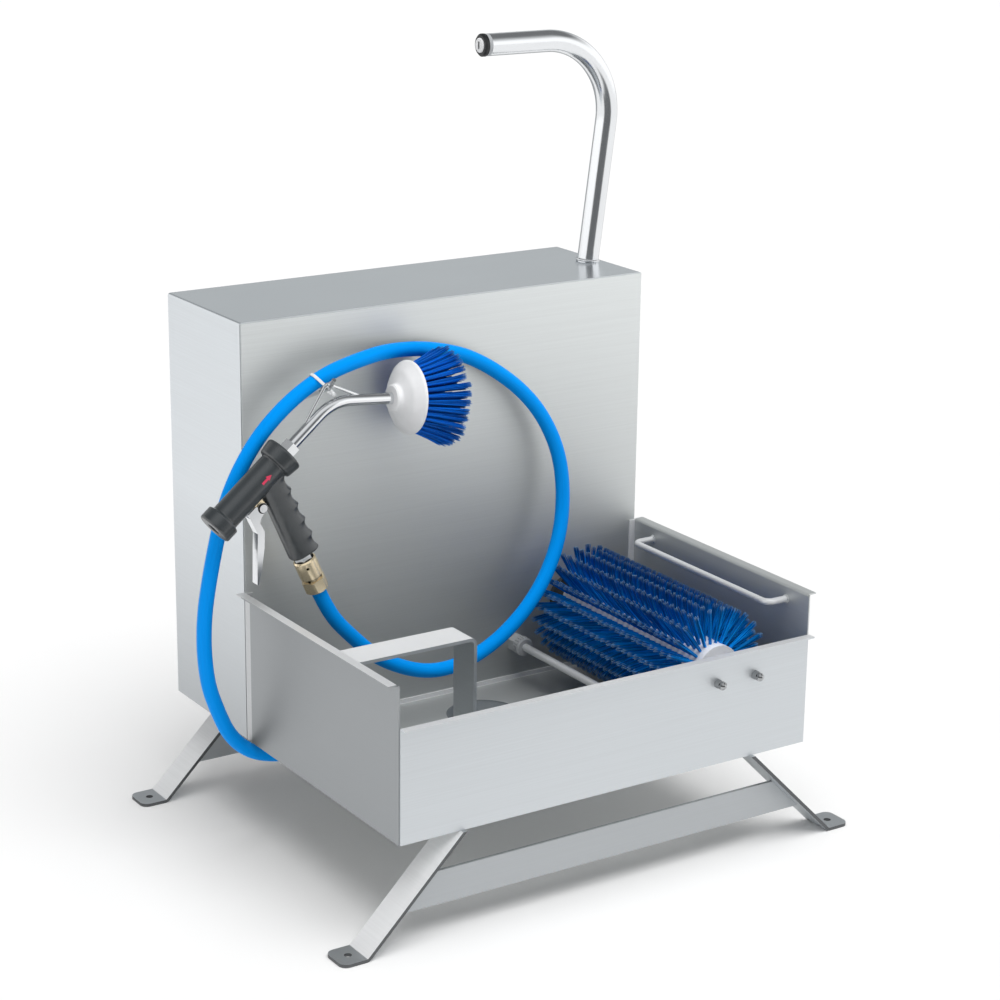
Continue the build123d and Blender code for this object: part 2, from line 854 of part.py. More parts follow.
def water():
    """Inlet, solenoid valve, feed pipes, spray pipe and hose outlet."""
    back = (0, 1, 0)
    half = valve_length / 2
    reach = valve_size / 2
    valve = Pos(valve_x, elbow_y, pipe_z) * Box(valve_length, valve_size, valve_size)
    valve = fillet(valve.edges().filter_by(Axis.X), valve_corner)
    valve += rod((valve_x, elbow_y, pipe_z + reach), (0, 0, 1), coil_height, coil_diameter)

    inlet_start = elbow_y + reach
    inlet_seat = y_back - inlet_start
    inlet_end = inlet_seat + inlet_flange_length + inlet_length
    inlet = turned(
        (valve_x, inlet_start, pipe_z),
        back,
        [
            (0, inlet_pipe),
            (inlet_seat, inlet_pipe),
            (inlet_seat, inlet_flange),
            (inlet_seat + inlet_flange_length, inlet_flange),
            (inlet_seat + inlet_flange_length, inlet_thread),
            (inlet_end, inlet_thread),
        ],
    )
    inlet -= rod((valve_x, inlet_start, pipe_z), back, inlet_end, inlet_pipe - 2 * inlet_wall)

    gland_end = y_panel_back + gland_tail
    feed = bent_tube(
        [
            (valve_x + half, elbow_y, pipe_z),
            (spray_pipe_x, elbow_y, pipe_z),
            (spray_pipe_x, gland_end, pipe_z),
        ],
        feed_bend,
        spray_pipe,
        pipe_bore,
    )
    elbow_top = z_floor + elbow_rise
    hose_feed = bent_tube(
        [(valve_x - half, elbow_y, pipe_z), (elbow_x, elbow_y, pipe_z), (elbow_x, elbow_y, elbow_top)],
        feed_bend,
        spray_pipe,
        pipe_bore,
    )

    nut_face = y_panel - gland_body - gland_nut_length
    gland = hexagon((spray_pipe_x, y_panel - gland_body, pipe_z), back, gland_body, gland_flats)
    gland += rod((spray_pipe_x, y_panel, pipe_z), back, sheet + gland_tail, gland_thread)
    pipe_seat = spray_pipe + 2 * seat_gap
    pipe_hole = rod((spray_pipe_x, nut_face, pipe_z), back, gland_nut_length + gland_body, pipe_seat)
    gland -= pipe_hole
    gland -= rod((spray_pipe_x, y_panel, pipe_z), back, sheet + gland_tail, pipe_bore)
    nut = turned(
        (spray_pipe_x, nut_face, pipe_z),
        back,
        [
            (0, gland_nut_outer - 2 * gland_nut_chamfer),
            (gland_nut_chamfer, gland_nut_outer),
            (gland_nut_length, gland_nut_outer),
        ],
    )
    nut -= pipe_hole
    for groove in range(gland_grooves):
        rim = direction(360 * groove / gland_grooves) * gland_nut_outer / 2
        groove_start = Vector(spray_pipe_x, nut_face + gland_nut_chamfer, pipe_z) + rim
        nut -= rod(groove_start, back, gland_nut_length, gland_groove)
    pipe_end = y_wall_inner + sheet
    pipe = rod((spray_pipe_x, pipe_end, pipe_z), back, y_panel - pipe_end, spray_pipe)
    pipe -= rod((spray_pipe_x, pipe_end + sheet, pipe_z), back, y_panel - pipe_end, pipe_bore)
    to_roller = Vector(roller_x - spray_pipe_x, 0, roller_z - pipe_z).normalized()
    for hole in range(spray_holes):
        y = (roller_front + roller_rear) / 2 + spray_hole_pitch * (hole - (spray_holes - 1) / 2)
        pipe -= rod((spray_pipe_x, y, pipe_z), to_roller, spray_pipe, spray_hole)
    holder = rod((spray_pipe_x, y_wall_inner, pipe_z), back, holder_length, holder_outer)
    holder -= rod((spray_pipe_x, pipe_end, pipe_z), back, holder_length, pipe_seat)

    bend, axis, end = elbow_tail()
    elbow = bent_tube([(elbow_x, elbow_y, elbow_top), bend, end], elbow_bend, elbow_pipe, pipe_bore)
    elbow += rod((elbow_x, elbow_y, z_base - elbow_nut_height), (0, 0, 1), elbow_nut_height, elbow_nut)
    elbow += rod(end - axis * ferrule_length, axis, ferrule_length, ferrule_outer)
    elbow -= rod((elbow_x, elbow_y, z_base - elbow_nut_height), (0, 0, 1), elbow_nut_height, pipe_bore)
    elbow -= rod(end - axis * ferrule_length, axis, ferrule_length, pipe_bore)
    return {
        "solenoid_valve": valve,
        "water_inlet": inlet,
        "feed_pipe": feed,
        "hose_feed_pipe": hose_feed,
        "pipe_gland": gland,
        "gland_nut": nut,
        "spray_pipe": pipe,
        "spray_pipe_holder": holder,
        "hose_elbow": elbow,
    }


def electrics():
    """Control box behind the panel and the cable gland in the back cover."""
    low = z_base + control_rise
    rear = y_panel_back + control_depth
    box = block(control_x, control_x + control_width, y_panel_back, rear, low, low + control_height)
    box = fillet(box.edges().filter_by(Axis.Y), control_corner)
    place = (cable_gland_x, y_cover, z_base + cable_gland_rise)
    gland = turned(
        place,
        (0, 1, 0),
        [
            (0, cable_gland_thread),
            (sheet, cable_gland_thread),
            (sheet, cable_gland_outer),
            (sheet + cable_gland_grip, cable_gland_outer),
            (sheet + cable_gland_length, cable_gland_thread),
        ],
    )
    return {"control_box": box, "cable_gland": gland}


def hose_hook():
    """Round hook on the panel that carries the gun and the hose."""
    slope = math.tan(math.radians(hook_slope))
    rise = hook_diameter / 2 / math.cos(math.radians(hook_slope)) - hook_diameter / 2
    z_seat = hook_z - rise - hanger_wire_diameter / 2 * slope
    y_bend = y_panel - hook_reach
    z_root = z_seat - (y_panel + hook_diameter - gun_y) * slope
    z_bend = z_seat + (gun_y - y_bend) * slope
    points = [
        (hook_x, y_panel + hook_diameter, z_root),
        (hook_x, y_bend, z_bend),
        (hook_x, y_bend - hook_tip_out, z_bend + hook_tip_up),
    ]
    hook = bent_tube(points, hook_bend, hook_diameter)
    room = 2 * hook_diameter
    hook -= block(hook_x - room, hook_x + room, y_panel, y_panel + room, z_root - room, z_root + room)
    return {"hose_hook": hook}


def gun_tongue(margin):
    """Lug under the barrel that carries the lever's pivot."""
    radius = tongue_radius + margin
    plate = flat([
        gun_point(pivot_along - radius, pivot_across),
        gun_point(pivot_along + radius, pivot_across),
        gun_point(pivot_along + radius, 0),
        gun_point(pivot_along - radius, 0),
    ])
    half = tongue_width / 2 + margin
    lug = across_y(plate, gun_y - half, gun_y + half)
    return lug + rod(gun_point(pivot_along, pivot_across, -half), (0, 1, 0), 2 * half, 2 * radius)


def gun_cover():
    """Moulded rubber cover: rear cap, barrel, front collar and finger grip."""
    barrel = direction(barrel_angle)
    length = barrel_front - barrel_rear
    collar_start = length - collar_length
    cover = turned(
        gun_point(barrel_rear),
        barrel,
        [
            (0, rear_cap_diameter - 2 * rear_cap_chamfer),
            (rear_cap_chamfer, rear_cap_diameter),
            (rear_cap_length, rear_cap_diameter),
            (rear_cap_length + cover_step, barrel_diameter),
            (collar_start - cover_step, barrel_diameter),
            (collar_start, collar_rear_diameter),
            (length - collar_lip, collar_diameter),
            (length, collar_diameter - 2 * collar_lip_drop),
        ],
    )
    width = grip_front + grip_rear
    section = Pos((grip_front - grip_rear) / 2, 0) * RectangleRounded(width, grip_thickness, grip_corner)
    grip_plane = Plane(grip_point(0), x_dir=direction(grip_angle + 90), z_dir=direction(grip_angle))
    grip = grip_plane * extrude(section, grip_length)
    half = grip_thickness
    trim = flat([
        grip_point(0, grip_front - grip_lean * grip_length / (grip_length - grip_peak)),
        grip_point(grip_length, grip_front),
        grip_point(0, grip_front + grip_lean),
    ])
    grip -= across_y(trim, gun_y - half, gun_y + half)
    chord = finger_pitch / 2
    groove = (chord ** 2 + finger_depth ** 2) / (2 * finger_depth)
    for finger in range(finger_grooves):
        along = grip_peak + finger_pitch * (finger_first + finger + 0.5)
        peak = grip_front - grip_lean * (grip_length - along) / (grip_length - grip_peak)
        centre = grip_point(along, peak - finger_depth + groove)
        grip -= rod(centre - Vector(0, half, 0), (0, 1, 0), 2 * half, 2 * groove)
    cover += grip
    cover -= rod(gun_point(barrel_rear + rear_recess_depth), barrel, length, cover_bore)
    cover -= rod(gun_point(barrel_rear), barrel, rear_recess_depth, rear_recess)
    cover -= rod(grip_point(0), direction(grip_angle), grip_length, stem_diameter)
    return {"gun_cover": cover - gun_tongue(seat_gap)}


def gun_valve():
    """Valve body inside the cover, its spindle and the lance nut in front."""
    barrel = direction(barrel_angle)
    rear = barrel_rear + rear_recess_depth + seat_gap
    body = rod(gun_point(rear), barrel, valve_front - rear, cover_bore - 2 * seat_gap)
    body += rod(grip_point(0), direction(grip_angle), grip_length, stem_diameter - 2 * seat_gap)
    body += gun_tongue(0)
    bore = rod(gun_point(rear), barrel, spindle_room - rear, spindle_diameter + 2 * running_gap)
    pivot_start = gun_point(pivot_along, pivot_across, -tongue_width)
    pivot_hole = rod(pivot_start, (0, 1, 0), 2 * tongue_width, pivot_diameter + 2 * seat_gap)
    spindle = rod(gun_point(spindle_rear), barrel, spindle_front - spindle_rear, spindle_diameter)
    nut = hexagon(gun_point(valve_front), barrel, lance_nut_length, lance_nut_flats)
    nut -= rod(gun_point(valve_front), barrel, lance_nut_length, lance_diameter + 2 * seat_gap)
    return {"gun_valve_body": body - bore - pivot_hole, "valve_spindle": spindle, "lance_nut": nut}


def lever_point(down, forward):
    """Point of the lever at rest: down from its pivot, and forward towards the grip."""
    return gun_point(pivot_along, pivot_across) + Vector(forward, 0, -down)


def gun_lever():
    """Pressed channel lever, forked over the pivot lug, and its pin."""
    tab = [
        gun_point(pivot_along + lever_tab_start, pivot_across + lever_tab_across),
        gun_point(pivot_along + lever_tab_end, pivot_across + lever_tab_across),
    ]
    front = [lever_point(down, forward) for down, forward in lever_front]
    spine = [lever_point(lever_length, -lever_depth)]
    spine += [lever_point(down, shift - lever_depth) for down, shift in lever_spine]
    outline = flat(tab + front + spine)
    half = lever_width / 2
    lever = across_y(outline, gun_y - half, gun_y + half)
    pivot = gun_point(pivot_along, pivot_across, -half)
    lever += rod(pivot, (0, 1, 0), lever_width, 2 * lever_boss)
    inside = [lever_point(lever_length - lever_end_wall, lever_wall - lever_depth)]
    inside += [lever_point(down, shift + lever_wall - lever_depth) for down, shift in lever_spine]
    hollow = flat([
        gun_point(pivot_along + lever_hollow_start, pivot_across + lever_hollow_top),
        gun_point(pivot_along + lever_hollow_end, pivot_across + lever_hollow_top),
        lever_point(lever_hollow_room, lever_hollow_room),
        lever_point(lever_length / 2, lever_hollow_room),
        lever_point(lever_length - lever_end_wall, 0),
        *inside,
        lever_point(*lever_hollow_throat),
    ])
    inner = tongue_width / 2 + fork_gap
    lever -= across_y(hollow, gun_y - inner, gun_y + inner)
    lever -= rod(pivot, (0, 1, 0), lever_width, pivot_diameter + 2 * running_gap)
    pin = rod(pivot, (0, 1, 0), lever_width, pivot_diameter)
    for side in (-1, 1):
        seat = gun_point(pivot_along, pivot_across, side * (half + seat_gap))
        pin += rod(seat, (0, side, 0), pivot_head_length, pivot_head)
        pin += rod(gun_point(pivot_along, pivot_across, side * half), (0, side, 0), seat_gap, pivot_diameter)
    return {"gun_lever": lever, "lever_pin": pin}


def lance_line():
    """Start, corner and end of the lance tube's middle line."""
    corner = gun_point(lance_corner_along)
    return gun_point(valve_front), corner, corner + direction(lance_end_angle) * lance_end_run


def lance():
    """Bent lance tube and the wire hanger welded on it."""
    line = lance_line()
    tube = bent_tube(line, lance_bend, lance_diameter, lance_diameter - 2 * lance_wall)
    bend = hook_diameter / 2 + hang_gap + hanger_wire_diameter / 2
    left = direction(hanger_left_angle)
    right = direction(hanger_right_angle)
    half_turn = math.radians(hanger_left_angle - hanger_right_angle) / 2
    outward = direction((hanger_left_angle + hanger_right_angle) / 2 + 90)
    corner = Vector(hook_x, gun_y, hook_z) + outward * (bend / math.cos(half_turn))
    points = [corner - left * hanger_left_leg, corner, corner + right * hanger_right_leg]
    wire = bent_tube(points, bend, hanger_wire_diameter)
    return {"lance_tube": tube, "hanger_wire": wire - bent_tube(line, lance_bend, lance_diameter)}


def hand_brush():
    """Round brush head on the lance and its splayed tufts."""
    axis = direction(lance_end_angle)
    hub = lance_line()[2]
    face = hub + axis * head_depth
    hub_root = (head_socket, head_hub)
    shoulder = (head_socket + head_dish, head_shoulder)
    head = turned(
        hub - axis * head_socket,
        axis,
        [
            (0, head_hub - 2 * head_hub_chamfer),
            (head_hub_chamfer, head_hub),
            hub_root,
            shoulder,
            (head_socket + head_depth - head_lip, head_diameter - 2 * head_rim),
            (head_socket + head_depth - head_lip / 2, head_diameter),
            (head_socket + head_depth, head_diameter),
        ],
        rounds=[(hub_root, head_hub_round), (shoulder, head_shoulder_round)],
    )
    head -= rod(hub - axis * head_socket, axis, head_socket, lance_diameter + 2 * seat_gap)
    outer_ring = len(hand_rings) * hand_ring_step
    disc = rod(face, axis, head_lip / 2, 2 * (outer_ring + hand_tuft_root))
    strands = []
    for ring, count in enumerate(hand_rings):
        radius = hand_ring_step * (ring + 1)
        share = radius / outer_ring
        for place in range(count):
            turn = math.radians(360 * (place + 0.5 * (ring % 2)) / count)
            radial = direction(lance_end_angle + 90) * math.cos(turn) + Vector(0, math.sin(turn), 0)
            root = face + radial * radius + axis * (head_lip / 4)
            reach = hand_tuft_length - hand_tip_drop * share ** 2
            tip = face + radial * (hand_tip_radius * share) + axis * reach
            line = tip - root
            side = radial.cross(axis)
            strand = tuft(hand_tuft_root, hand_tuft_tip, line.length)
            strands.append(Plane(root, x_dir=side, z_dir=line.normalized()) * strand)
    return {"brush_head": head, "hand_bristles": disc.fuse(*strands)}


def coupling():
    """Threaded nipple in the grip and the hose coupling below it."""
    down = direction(grip_angle)
    nipple = hexagon(grip_point(grip_length), down, nipple_length, nipple_flats)
    start = grip_length + nipple_length
    groove = coupling_sleeve_length
    nut = groove + coupling_groove_length
    end = nut + coupling_nut_length
    body = turned(
        grip_point(start),
        down,
        [
            (0, coupling_sleeve - 2 * coupling_chamfer),
            (coupling_chamfer, coupling_sleeve),
            (groove - coupling_step, coupling_sleeve),
            (groove, coupling_groove),
            (nut, coupling_groove),
            (nut + coupling_step, coupling_nut),
            (end - coupling_chamfer, coupling_nut),
            (end, coupling_nut - 2 * coupling_chamfer),
        ],
    )
    flats = rod(grip_point(start), down, nut, coupling_nut)
    flats += hexagon(grip_point(start + nut), down, coupling_nut_length, coupling_nut_flats)
    body &= flats
    rows = (
        (sleeve_hole_place, coupling_sleeve, sleeve_hole_turn),
        (groove + coupling_groove_length / 2, coupling_groove, groove_hole_turn),
    )
    for place, diameter, turn in rows:
        for hole in range(coupling_holes):
            angle = math.radians(turn + 360 * hole / coupling_holes)
            spoke = Vector(0, -math.cos(angle), 0) + direction(grip_angle + 90) * math.sin(angle)
            bottom = grip_point(start + place) + spoke * (diameter / 2 - coupling_hole_depth)
            body -= rod(bottom, spoke, coupling_sleeve / 2, coupling_hole)
    return {"coupling_nipple": nipple, "hose_coupling": body}


def hose_line():
    """All points of the hose's control line, from the outlet elbow to the coupling."""
    _, axis, start = elbow_tail()
    sleeve_end = grip_length + nipple_length + coupling_sleeve_length
    coupling_end = sleeve_end + coupling_groove_length + coupling_nut_length
    middle = [Vector(*point) for point in hose_points]
    lead_out = grip_point(coupling_end + hose_end_run)
    return [start, start + axis * hose_start_run] + middle + [lead_out, grip_point(coupling_end)]


def hose():
    """Hose as straight runs with the largest arcs they allow, and the tie that holds it."""
    points = hose_line()
    radii = []
    for before, point, after in zip(points, points[1:], points[2:]):
        run_in = point - before
        run_out = after - point
        half_turn = math.radians(run_in.get_angle(run_out)) / 2
        radii.append(hose_bend_share * min(run_in.length, run_out.length) / math.tan(half_turn))
    path = FilletPolyline(*points, radius=radii)
    section = Plane(path @ 0, z_dir=path % 0) * Circle(hose_diameter / 2)
    tube = sweep(section, path=path)
    share = tube.volume / (math.pi * hose_diameter ** 2 / 4 * path.length)
    print("hose radii", [round(radius) for radius in radii])
    print("hose length", round(path.length), "volume share", round(share, 4))

    centre = path.position_at(tie_distance, PositionMode.LENGTH)
    across = direction(tie_lean)
    band_plane = Plane(centre - across * (tie_width / 2), x_dir=(0, 1, 0), z_dir=across)
    left = direction(hanger_left_angle)
    hook = Vector(hook_x, gun_y, hook_z)
    wire_offset = hook_diameter / 2 + hang_gap + hanger_wire_diameter / 2
    wire = hook + direction(hanger_left_angle + 90) * wire_offset
    wire += left * ((centre - wire).dot(across) / left.dot(across))
    wire_place = band_plane.to_local_coords(wire)
    hose_ring = Circle(hose_diameter / 2 + tie_hose_room)
    wire_ring = Pos(wire_place.X, wire_place.Y) * Circle(tie_wire_room)
    loop = make_hull(hose_ring.edges() + wire_ring.edges())
    band = extrude(offset(loop, tie_thickness), tie_width) - extrude(loop, tie_width)
    return {"hose": tube, "cable_tie": band_plane * band}


nodes = {}
for make in (
    stand,
    tray,
    tray_fittings,
    housing,
    handrail,
    roller,
    front_bearing,
    drive,
    water,
    electrics,
    hose_hook,
    gun_cover,
    gun_valve,
    gun_lever,
    lance,
    hand_brush,
    coupling,
    hose,
):
    nodes.update(make())

os.makedirs("parts", exist_ok=True)
for name, solid in nodes.items():
    export_step(solid, f"parts/{name}.step")
print(len(nodes), "nodes")
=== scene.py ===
"""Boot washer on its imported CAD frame: finishes for steel, plastic and rubber, and fuller pieces for the
brushes, the hose, the wash gun, the cable tie, the welds and the button's mark."""

import json
import math

import bmesh
import bpy
import numpy as np
from bpy.props import FloatProperty, FloatVectorProperty, IntProperty, PointerProperty
from mathutils import Matrix, Vector


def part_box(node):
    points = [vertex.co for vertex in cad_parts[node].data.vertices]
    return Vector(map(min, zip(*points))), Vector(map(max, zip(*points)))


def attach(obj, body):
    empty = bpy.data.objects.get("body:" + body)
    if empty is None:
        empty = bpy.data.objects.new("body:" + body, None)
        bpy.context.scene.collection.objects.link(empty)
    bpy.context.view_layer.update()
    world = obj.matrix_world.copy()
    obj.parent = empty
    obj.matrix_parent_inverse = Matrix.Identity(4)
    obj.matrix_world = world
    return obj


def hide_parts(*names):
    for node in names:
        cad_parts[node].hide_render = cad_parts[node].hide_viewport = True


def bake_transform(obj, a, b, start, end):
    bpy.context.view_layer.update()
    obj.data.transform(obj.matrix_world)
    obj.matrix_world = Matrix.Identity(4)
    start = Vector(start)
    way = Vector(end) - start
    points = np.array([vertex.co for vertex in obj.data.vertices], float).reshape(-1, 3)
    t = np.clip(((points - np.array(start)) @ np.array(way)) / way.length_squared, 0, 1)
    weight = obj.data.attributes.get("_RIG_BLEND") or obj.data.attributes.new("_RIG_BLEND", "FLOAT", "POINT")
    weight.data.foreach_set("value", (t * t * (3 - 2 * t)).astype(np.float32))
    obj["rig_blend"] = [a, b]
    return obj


bl_info = {
    "name": "Boot washer",
    "version": (1, 0, 0),
    "blender": (4, 5, 0),
    "location": "View3D > Sidebar > Boot washer",
    "description": "Gives the CAD frame of a boot washer its finishes and fuller pieces",
    "category": "Object",
}

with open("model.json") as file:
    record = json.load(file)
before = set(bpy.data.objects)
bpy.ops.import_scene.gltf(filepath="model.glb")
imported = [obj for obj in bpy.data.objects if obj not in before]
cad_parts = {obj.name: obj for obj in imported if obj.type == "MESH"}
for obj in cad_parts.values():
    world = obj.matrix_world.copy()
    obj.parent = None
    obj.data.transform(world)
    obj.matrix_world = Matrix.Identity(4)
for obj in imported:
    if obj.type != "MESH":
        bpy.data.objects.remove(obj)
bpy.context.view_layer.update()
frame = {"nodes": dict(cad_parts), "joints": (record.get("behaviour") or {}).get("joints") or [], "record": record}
joints = {joint["name"]: joint for joint in frame["joints"]}


def linear(red, green, blue):
    """Linear colour of an 8-bit screen colour: ((c + 0.055) / 1.055) ** 2.4, or c / 12.92 in the dark."""
    c = np.array([red, green, blue]) / 255
    return tuple(np.where(c > 0.04045, ((c + 0.055) / 1.055) ** 2.4, c / 12.92).tolist())


def direction(angle):
    """Unit vector in the X-Z plane, the angle in degrees from +X towards +Z."""
    return np.array([math.cos(math.radians(angle)), 0.0, math.sin(math.radians(angle))])


# Camera, fitted to the photograph's straight edges: place in metres, angles in degrees, lens in millimetres
CAMERA_PLACE = (-1.9355, -2.9746, 1.5935)
CAMERA_HEADING = 33.30
CAMERA_PITCH = 17.13
CAMERA_ROLL = 0.73
CAMERA_LENS = 90.54
CAMERA_SENSOR = 36.0

# Heading of the gap between the two light panels, in degrees from -Y towards -X
PANEL_HEADING = 21.3

# Hose route: control points between the outlet elbow and the gun's coupling, in metres
HOSE_ROUTE = [
    (-0.2031, 0.1319, 0.111),
    (-0.2522, 0.1227, 0.111),
    (-0.300, 0.114, 0.118),
    (-0.348, 0.106, 0.136),
    (-0.385, 0.098, 0.171),
    (-0.408, 0.091, 0.218),
    (-0.427, 0.087, 0.272),
    (-0.432, 0.084, 0.356),
    (-0.419, 0.081, 0.440),
    (-0.396, 0.077, 0.540),
    (-0.356, 0.070, 0.618),
    (-0.306, 0.062, 0.672),
    (-0.248, 0.058, 0.708),
    (-0.184, 0.067, 0.721),
    (-0.118, 0.086, 0.724),
    (-0.040, 0.094, 0.715),
    (0.038, 0.093, 0.690),
    (0.125, 0.083, 0.624),
    (0.170, 0.072, 0.544),
    (0.177, 0.061, 0.462),
    (0.153, 0.043, 0.384),
    (0.100, 0.029, 0.312),
    (0.020, 0.029, 0.250),
    (-0.072, 0.031, 0.228),
    (-0.165, 0.031, 0.266),
    (-0.219, 0.031, 0.318),
    (-0.2560, 0.031, 0.3600),
    (-0.2740, 0.031, 0.4012),
]

# Gun frame: the origin lies where the barrel's and the grip's axes cross
BARREL_ANGLE = 39.8
GRIP_ANGLE = -66.4
PIVOT_ALONG = -0.0376
PIVOT_ACROSS = -0.0309
BARREL = direction(BARREL_ANGLE)
ABOVE = direction(BARREL_ANGLE + 90)
GRIP = direction(GRIP_ANGLE)
FORWARD = direction(GRIP_ANGLE + 90)
FRONT = np.array([0.0, -1.0, 0.0])
PIVOT = np.array(joints["lever_squeeze"]["pos_m"])
GUN = PIVOT - BARREL * PIVOT_ALONG - ABOVE * PIVOT_ACROSS


def metres(name, description, default):
    """Setting that is a length."""
    return FloatProperty(name=name, description=description, default=default, unit="LENGTH")


def swatch(name, description, *screen):
    """Setting that is a colour, given as it looks on a screen."""
    settings = {"subtype": "COLOR", "default": linear(*screen), "min": 0, "max": 1}
    return FloatVectorProperty(name=name, description=description, **settings)


class WasherSizes(bpy.types.PropertyGroup):
    """Sizes of the pieces that are made here."""

    roller_rows: IntProperty(name="Roller rows", description="Rows of tufts round the roller", default=24)
    roller_tufts: IntProperty(name="Tufts in a row", description="Tufts along one roller row", default=25)
    roller_strands: IntProperty(name="Roller strands", description="Bristles in one roller tuft", default=12)
    roller_pitch: metres("Tuft pitch", "Spacing of the tufts in a row", 0.0137)
    roller_tip: metres("Roller radius", "Radius of the roller at its tips", 0.095)
    roller_gap: FloatProperty(
        name="Row gap",
        description="Angle of a gap between two rows",
        default=math.radians(150.7),
        subtype="ANGLE",
    )
    strand: metres("Bristle", "Diameter of one bristle", 0.0018)
    hand_strands: IntProperty(name="Hand strands", description="Bristles in one hand-brush tuft", default=34)
    hand_ring: metres("Ring step", "Spacing of the hand brush's tuft rings", 0.009)
    hand_length: metres("Hand bristles", "Length of the middle bristles", 0.068)
    hand_splay: metres("Splay", "Radius of the hand brush at its tips", 0.070)
    hose: metres("Hose", "Outside diameter of the hose", 0.022)
    weld: metres("Weld", "Width of a weld bead", 0.0045)


class WasherColours(bpy.types.PropertyGroup):
    """Colours of the finishes."""

    steel: swatch("Steel", "Brushed sheet", 203, 207, 210)
    chrome: swatch("Chrome", "Polished fittings", 232, 234, 236)
    bristle: swatch("Bristle", "Brush filament", 0, 112, 228)
    hose: swatch("Hose", "Hose cover", 0, 156, 255)
    rubber: swatch("Rubber", "Gun cover", 50, 55, 58)
    brass: swatch("Brass", "Hose fittings", 252, 234, 198)
    white: swatch("White", "White plastic", 246, 247, 249)
    grey: swatch("Grey", "Grey plastic", 178, 181, 184)
    black: swatch("Black", "Black plastic", 34, 36, 38)
    arrow: swatch("Arrow", "Flow arrow on the gun", 226, 62, 96)


def unit(vectors):
    """Each vector divided by its length, or left as it is where it has none."""
    length = np.linalg.norm(vectors, axis=-1, keepdims=True)
    return vectors / np.where(length > 0, length, 1)


def square_axes(axis):
    """Unit vector along an axis, or each of several, and two that are square to it and to each other."""
    axis = unit(np.asarray(axis, float))
    other = np.where(np.abs(axis[..., 1:2]) < 0.9, [0.0, 1.0, 0.0], [1.0, 0.0, 0.0])
    first = unit(np.cross(axis, other))
    return axis, first, np.cross(axis, first)


def tinted(colour, *factors):
    """Colour with each channel multiplied by its factor."""
    return [channel * factor for channel, factor in zip(colour, factors)]


def grid_faces(rows, columns, wrap_rows=False, wrap_columns=False):
    """Corner indices of a grid's faces: (i, j), (i + 1, j), (i + 1, j + 1), (i, j + 1)."""
    i, j = np.meshgrid(
        np.arange(rows if wrap_rows else rows - 1),
        np.arange(columns if wrap_columns else columns - 1),
        indexing="ij",
    )
    i_next = (i + 1) % rows
    j_next = (j + 1) % columns
    corners = [i * columns + j, i_next * columns + j, i_next * columns + j_next, i * columns + j_next]
    return np.stack(corners, axis=-1).reshape(-1, 4).tolist()


def link_mesh(name, vertices, faces):
    """New object at the origin from an array of vertices and a list of face corners."""
    mesh = bpy.data.meshes.new(name)
    mesh.from_pydata(vertices.reshape(-1, 3).tolist(), [], faces)
    piece = bpy.data.objects.new(name, mesh)
    bpy.context.scene.collection.objects.link(piece)
    return piece


def close_seams(piece, sharp=40.0):
    """Merge doubled vertices, turn faces outwards, and shade smooth up to an angle."""
    work = bmesh.new()
    work.from_mesh(piece.data)
    bmesh.ops.remove_doubles(work, verts=work.verts, dist=1e-6)
    bmesh.ops.dissolve_degenerate(work, edges=work.edges, dist=1e-7)
    bmesh.ops.recalc_face_normals(work, faces=work.faces)
    work.to_mesh(piece.data)
    work.free()
    piece.data.shade_smooth()
    piece.data.set_sharp_from_angle(angle=math.radians(sharp))
    return piece


def dress(piece, material, body, nodes=()):
    """Give a piece its material and body, and let it stand for CAD nodes."""
    piece.data.materials.clear()
    piece.data.materials.append(material)
    if "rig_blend" not in piece:
        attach(piece, body)
    if nodes:
        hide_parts(*nodes)


def soft_profile(corners, steps=6):
    """Profile whose corners are rounded: each (a, r, d) becomes the curve
    (1 - t)^2 P0 + 2 t (1 - t) P + t^2 P1, with P0 and P1 a distance d before and after it."""
    points = np.array([corner[:2] for corner in corners], float)
    reach = np.array([corner[2] for corner in corners], float)[:, None]
    before = points + reach * unit(np.roll(points, 1, axis=0) - points)
    after = points + reach * unit(np.roll(points, -1, axis=0) - points)
    t = np.linspace(0, 1, steps)[None, :, None]
    curve = (1 - t) ** 2 * before[:, None] + 2 * t * (1 - t) * points[:, None] + t ** 2 * after[:, None]
    return curve.reshape(-1, 2)


def turned(profile, start, axis, sides):
    """Surface of revolution: start + a axis + r (cos u e1 + sin u e2), for each (a, r) of the profile."""
    axis, first, second = square_axes(axis)
    along = profile[:, 0, None, None]
    radius = profile[:, 1, None, None]
    points = np.asarray(start) + along * axis + radius * spokes(first, second, sides)
    return points, grid_faces(len(profile), sides, wrap_columns=True)


def bead_ring(place, axis, radius, bead, ripples=34):
    """Ring round a bar: a torus with R the bar's radius and a bead r (1 + 0.1 sin n u)."""
    axis, first, second = square_axes(axis)
    u = np.linspace(0, 2 * np.pi, 96, endpoint=False)[:, None, None]
    path = np.asarray(place) + radius * spokes(first, second, len(u))
    section = bead * (1 + 0.1 * np.sin(ripples * u)) * circle(1.0, 14)[:, ::-1]
    return carried(path, section, axis, closed=True)


def carried(path, section, side, closed=False):
    """Section carried along a path: p(i) + s0 n(i) + s1 b(i), where b = t x side and n = b x t."""
    ahead = np.roll(path, -1, axis=0) - np.roll(path, 1, axis=0)
    if not closed:
        ahead[0] = path[1] - path[0]
        ahead[-1] = path[-1] - path[-2]
    tangent = unit(ahead)
    second = unit(np.cross(tangent, side))
    first = np.cross(second, tangent)
    points = path[:, None] + section[..., 0, None] * first[:, None] + section[..., 1, None] * second[:, None]
    return points, grid_faces(len(path), section.shape[-2], wrap_rows=closed, wrap_columns=True)


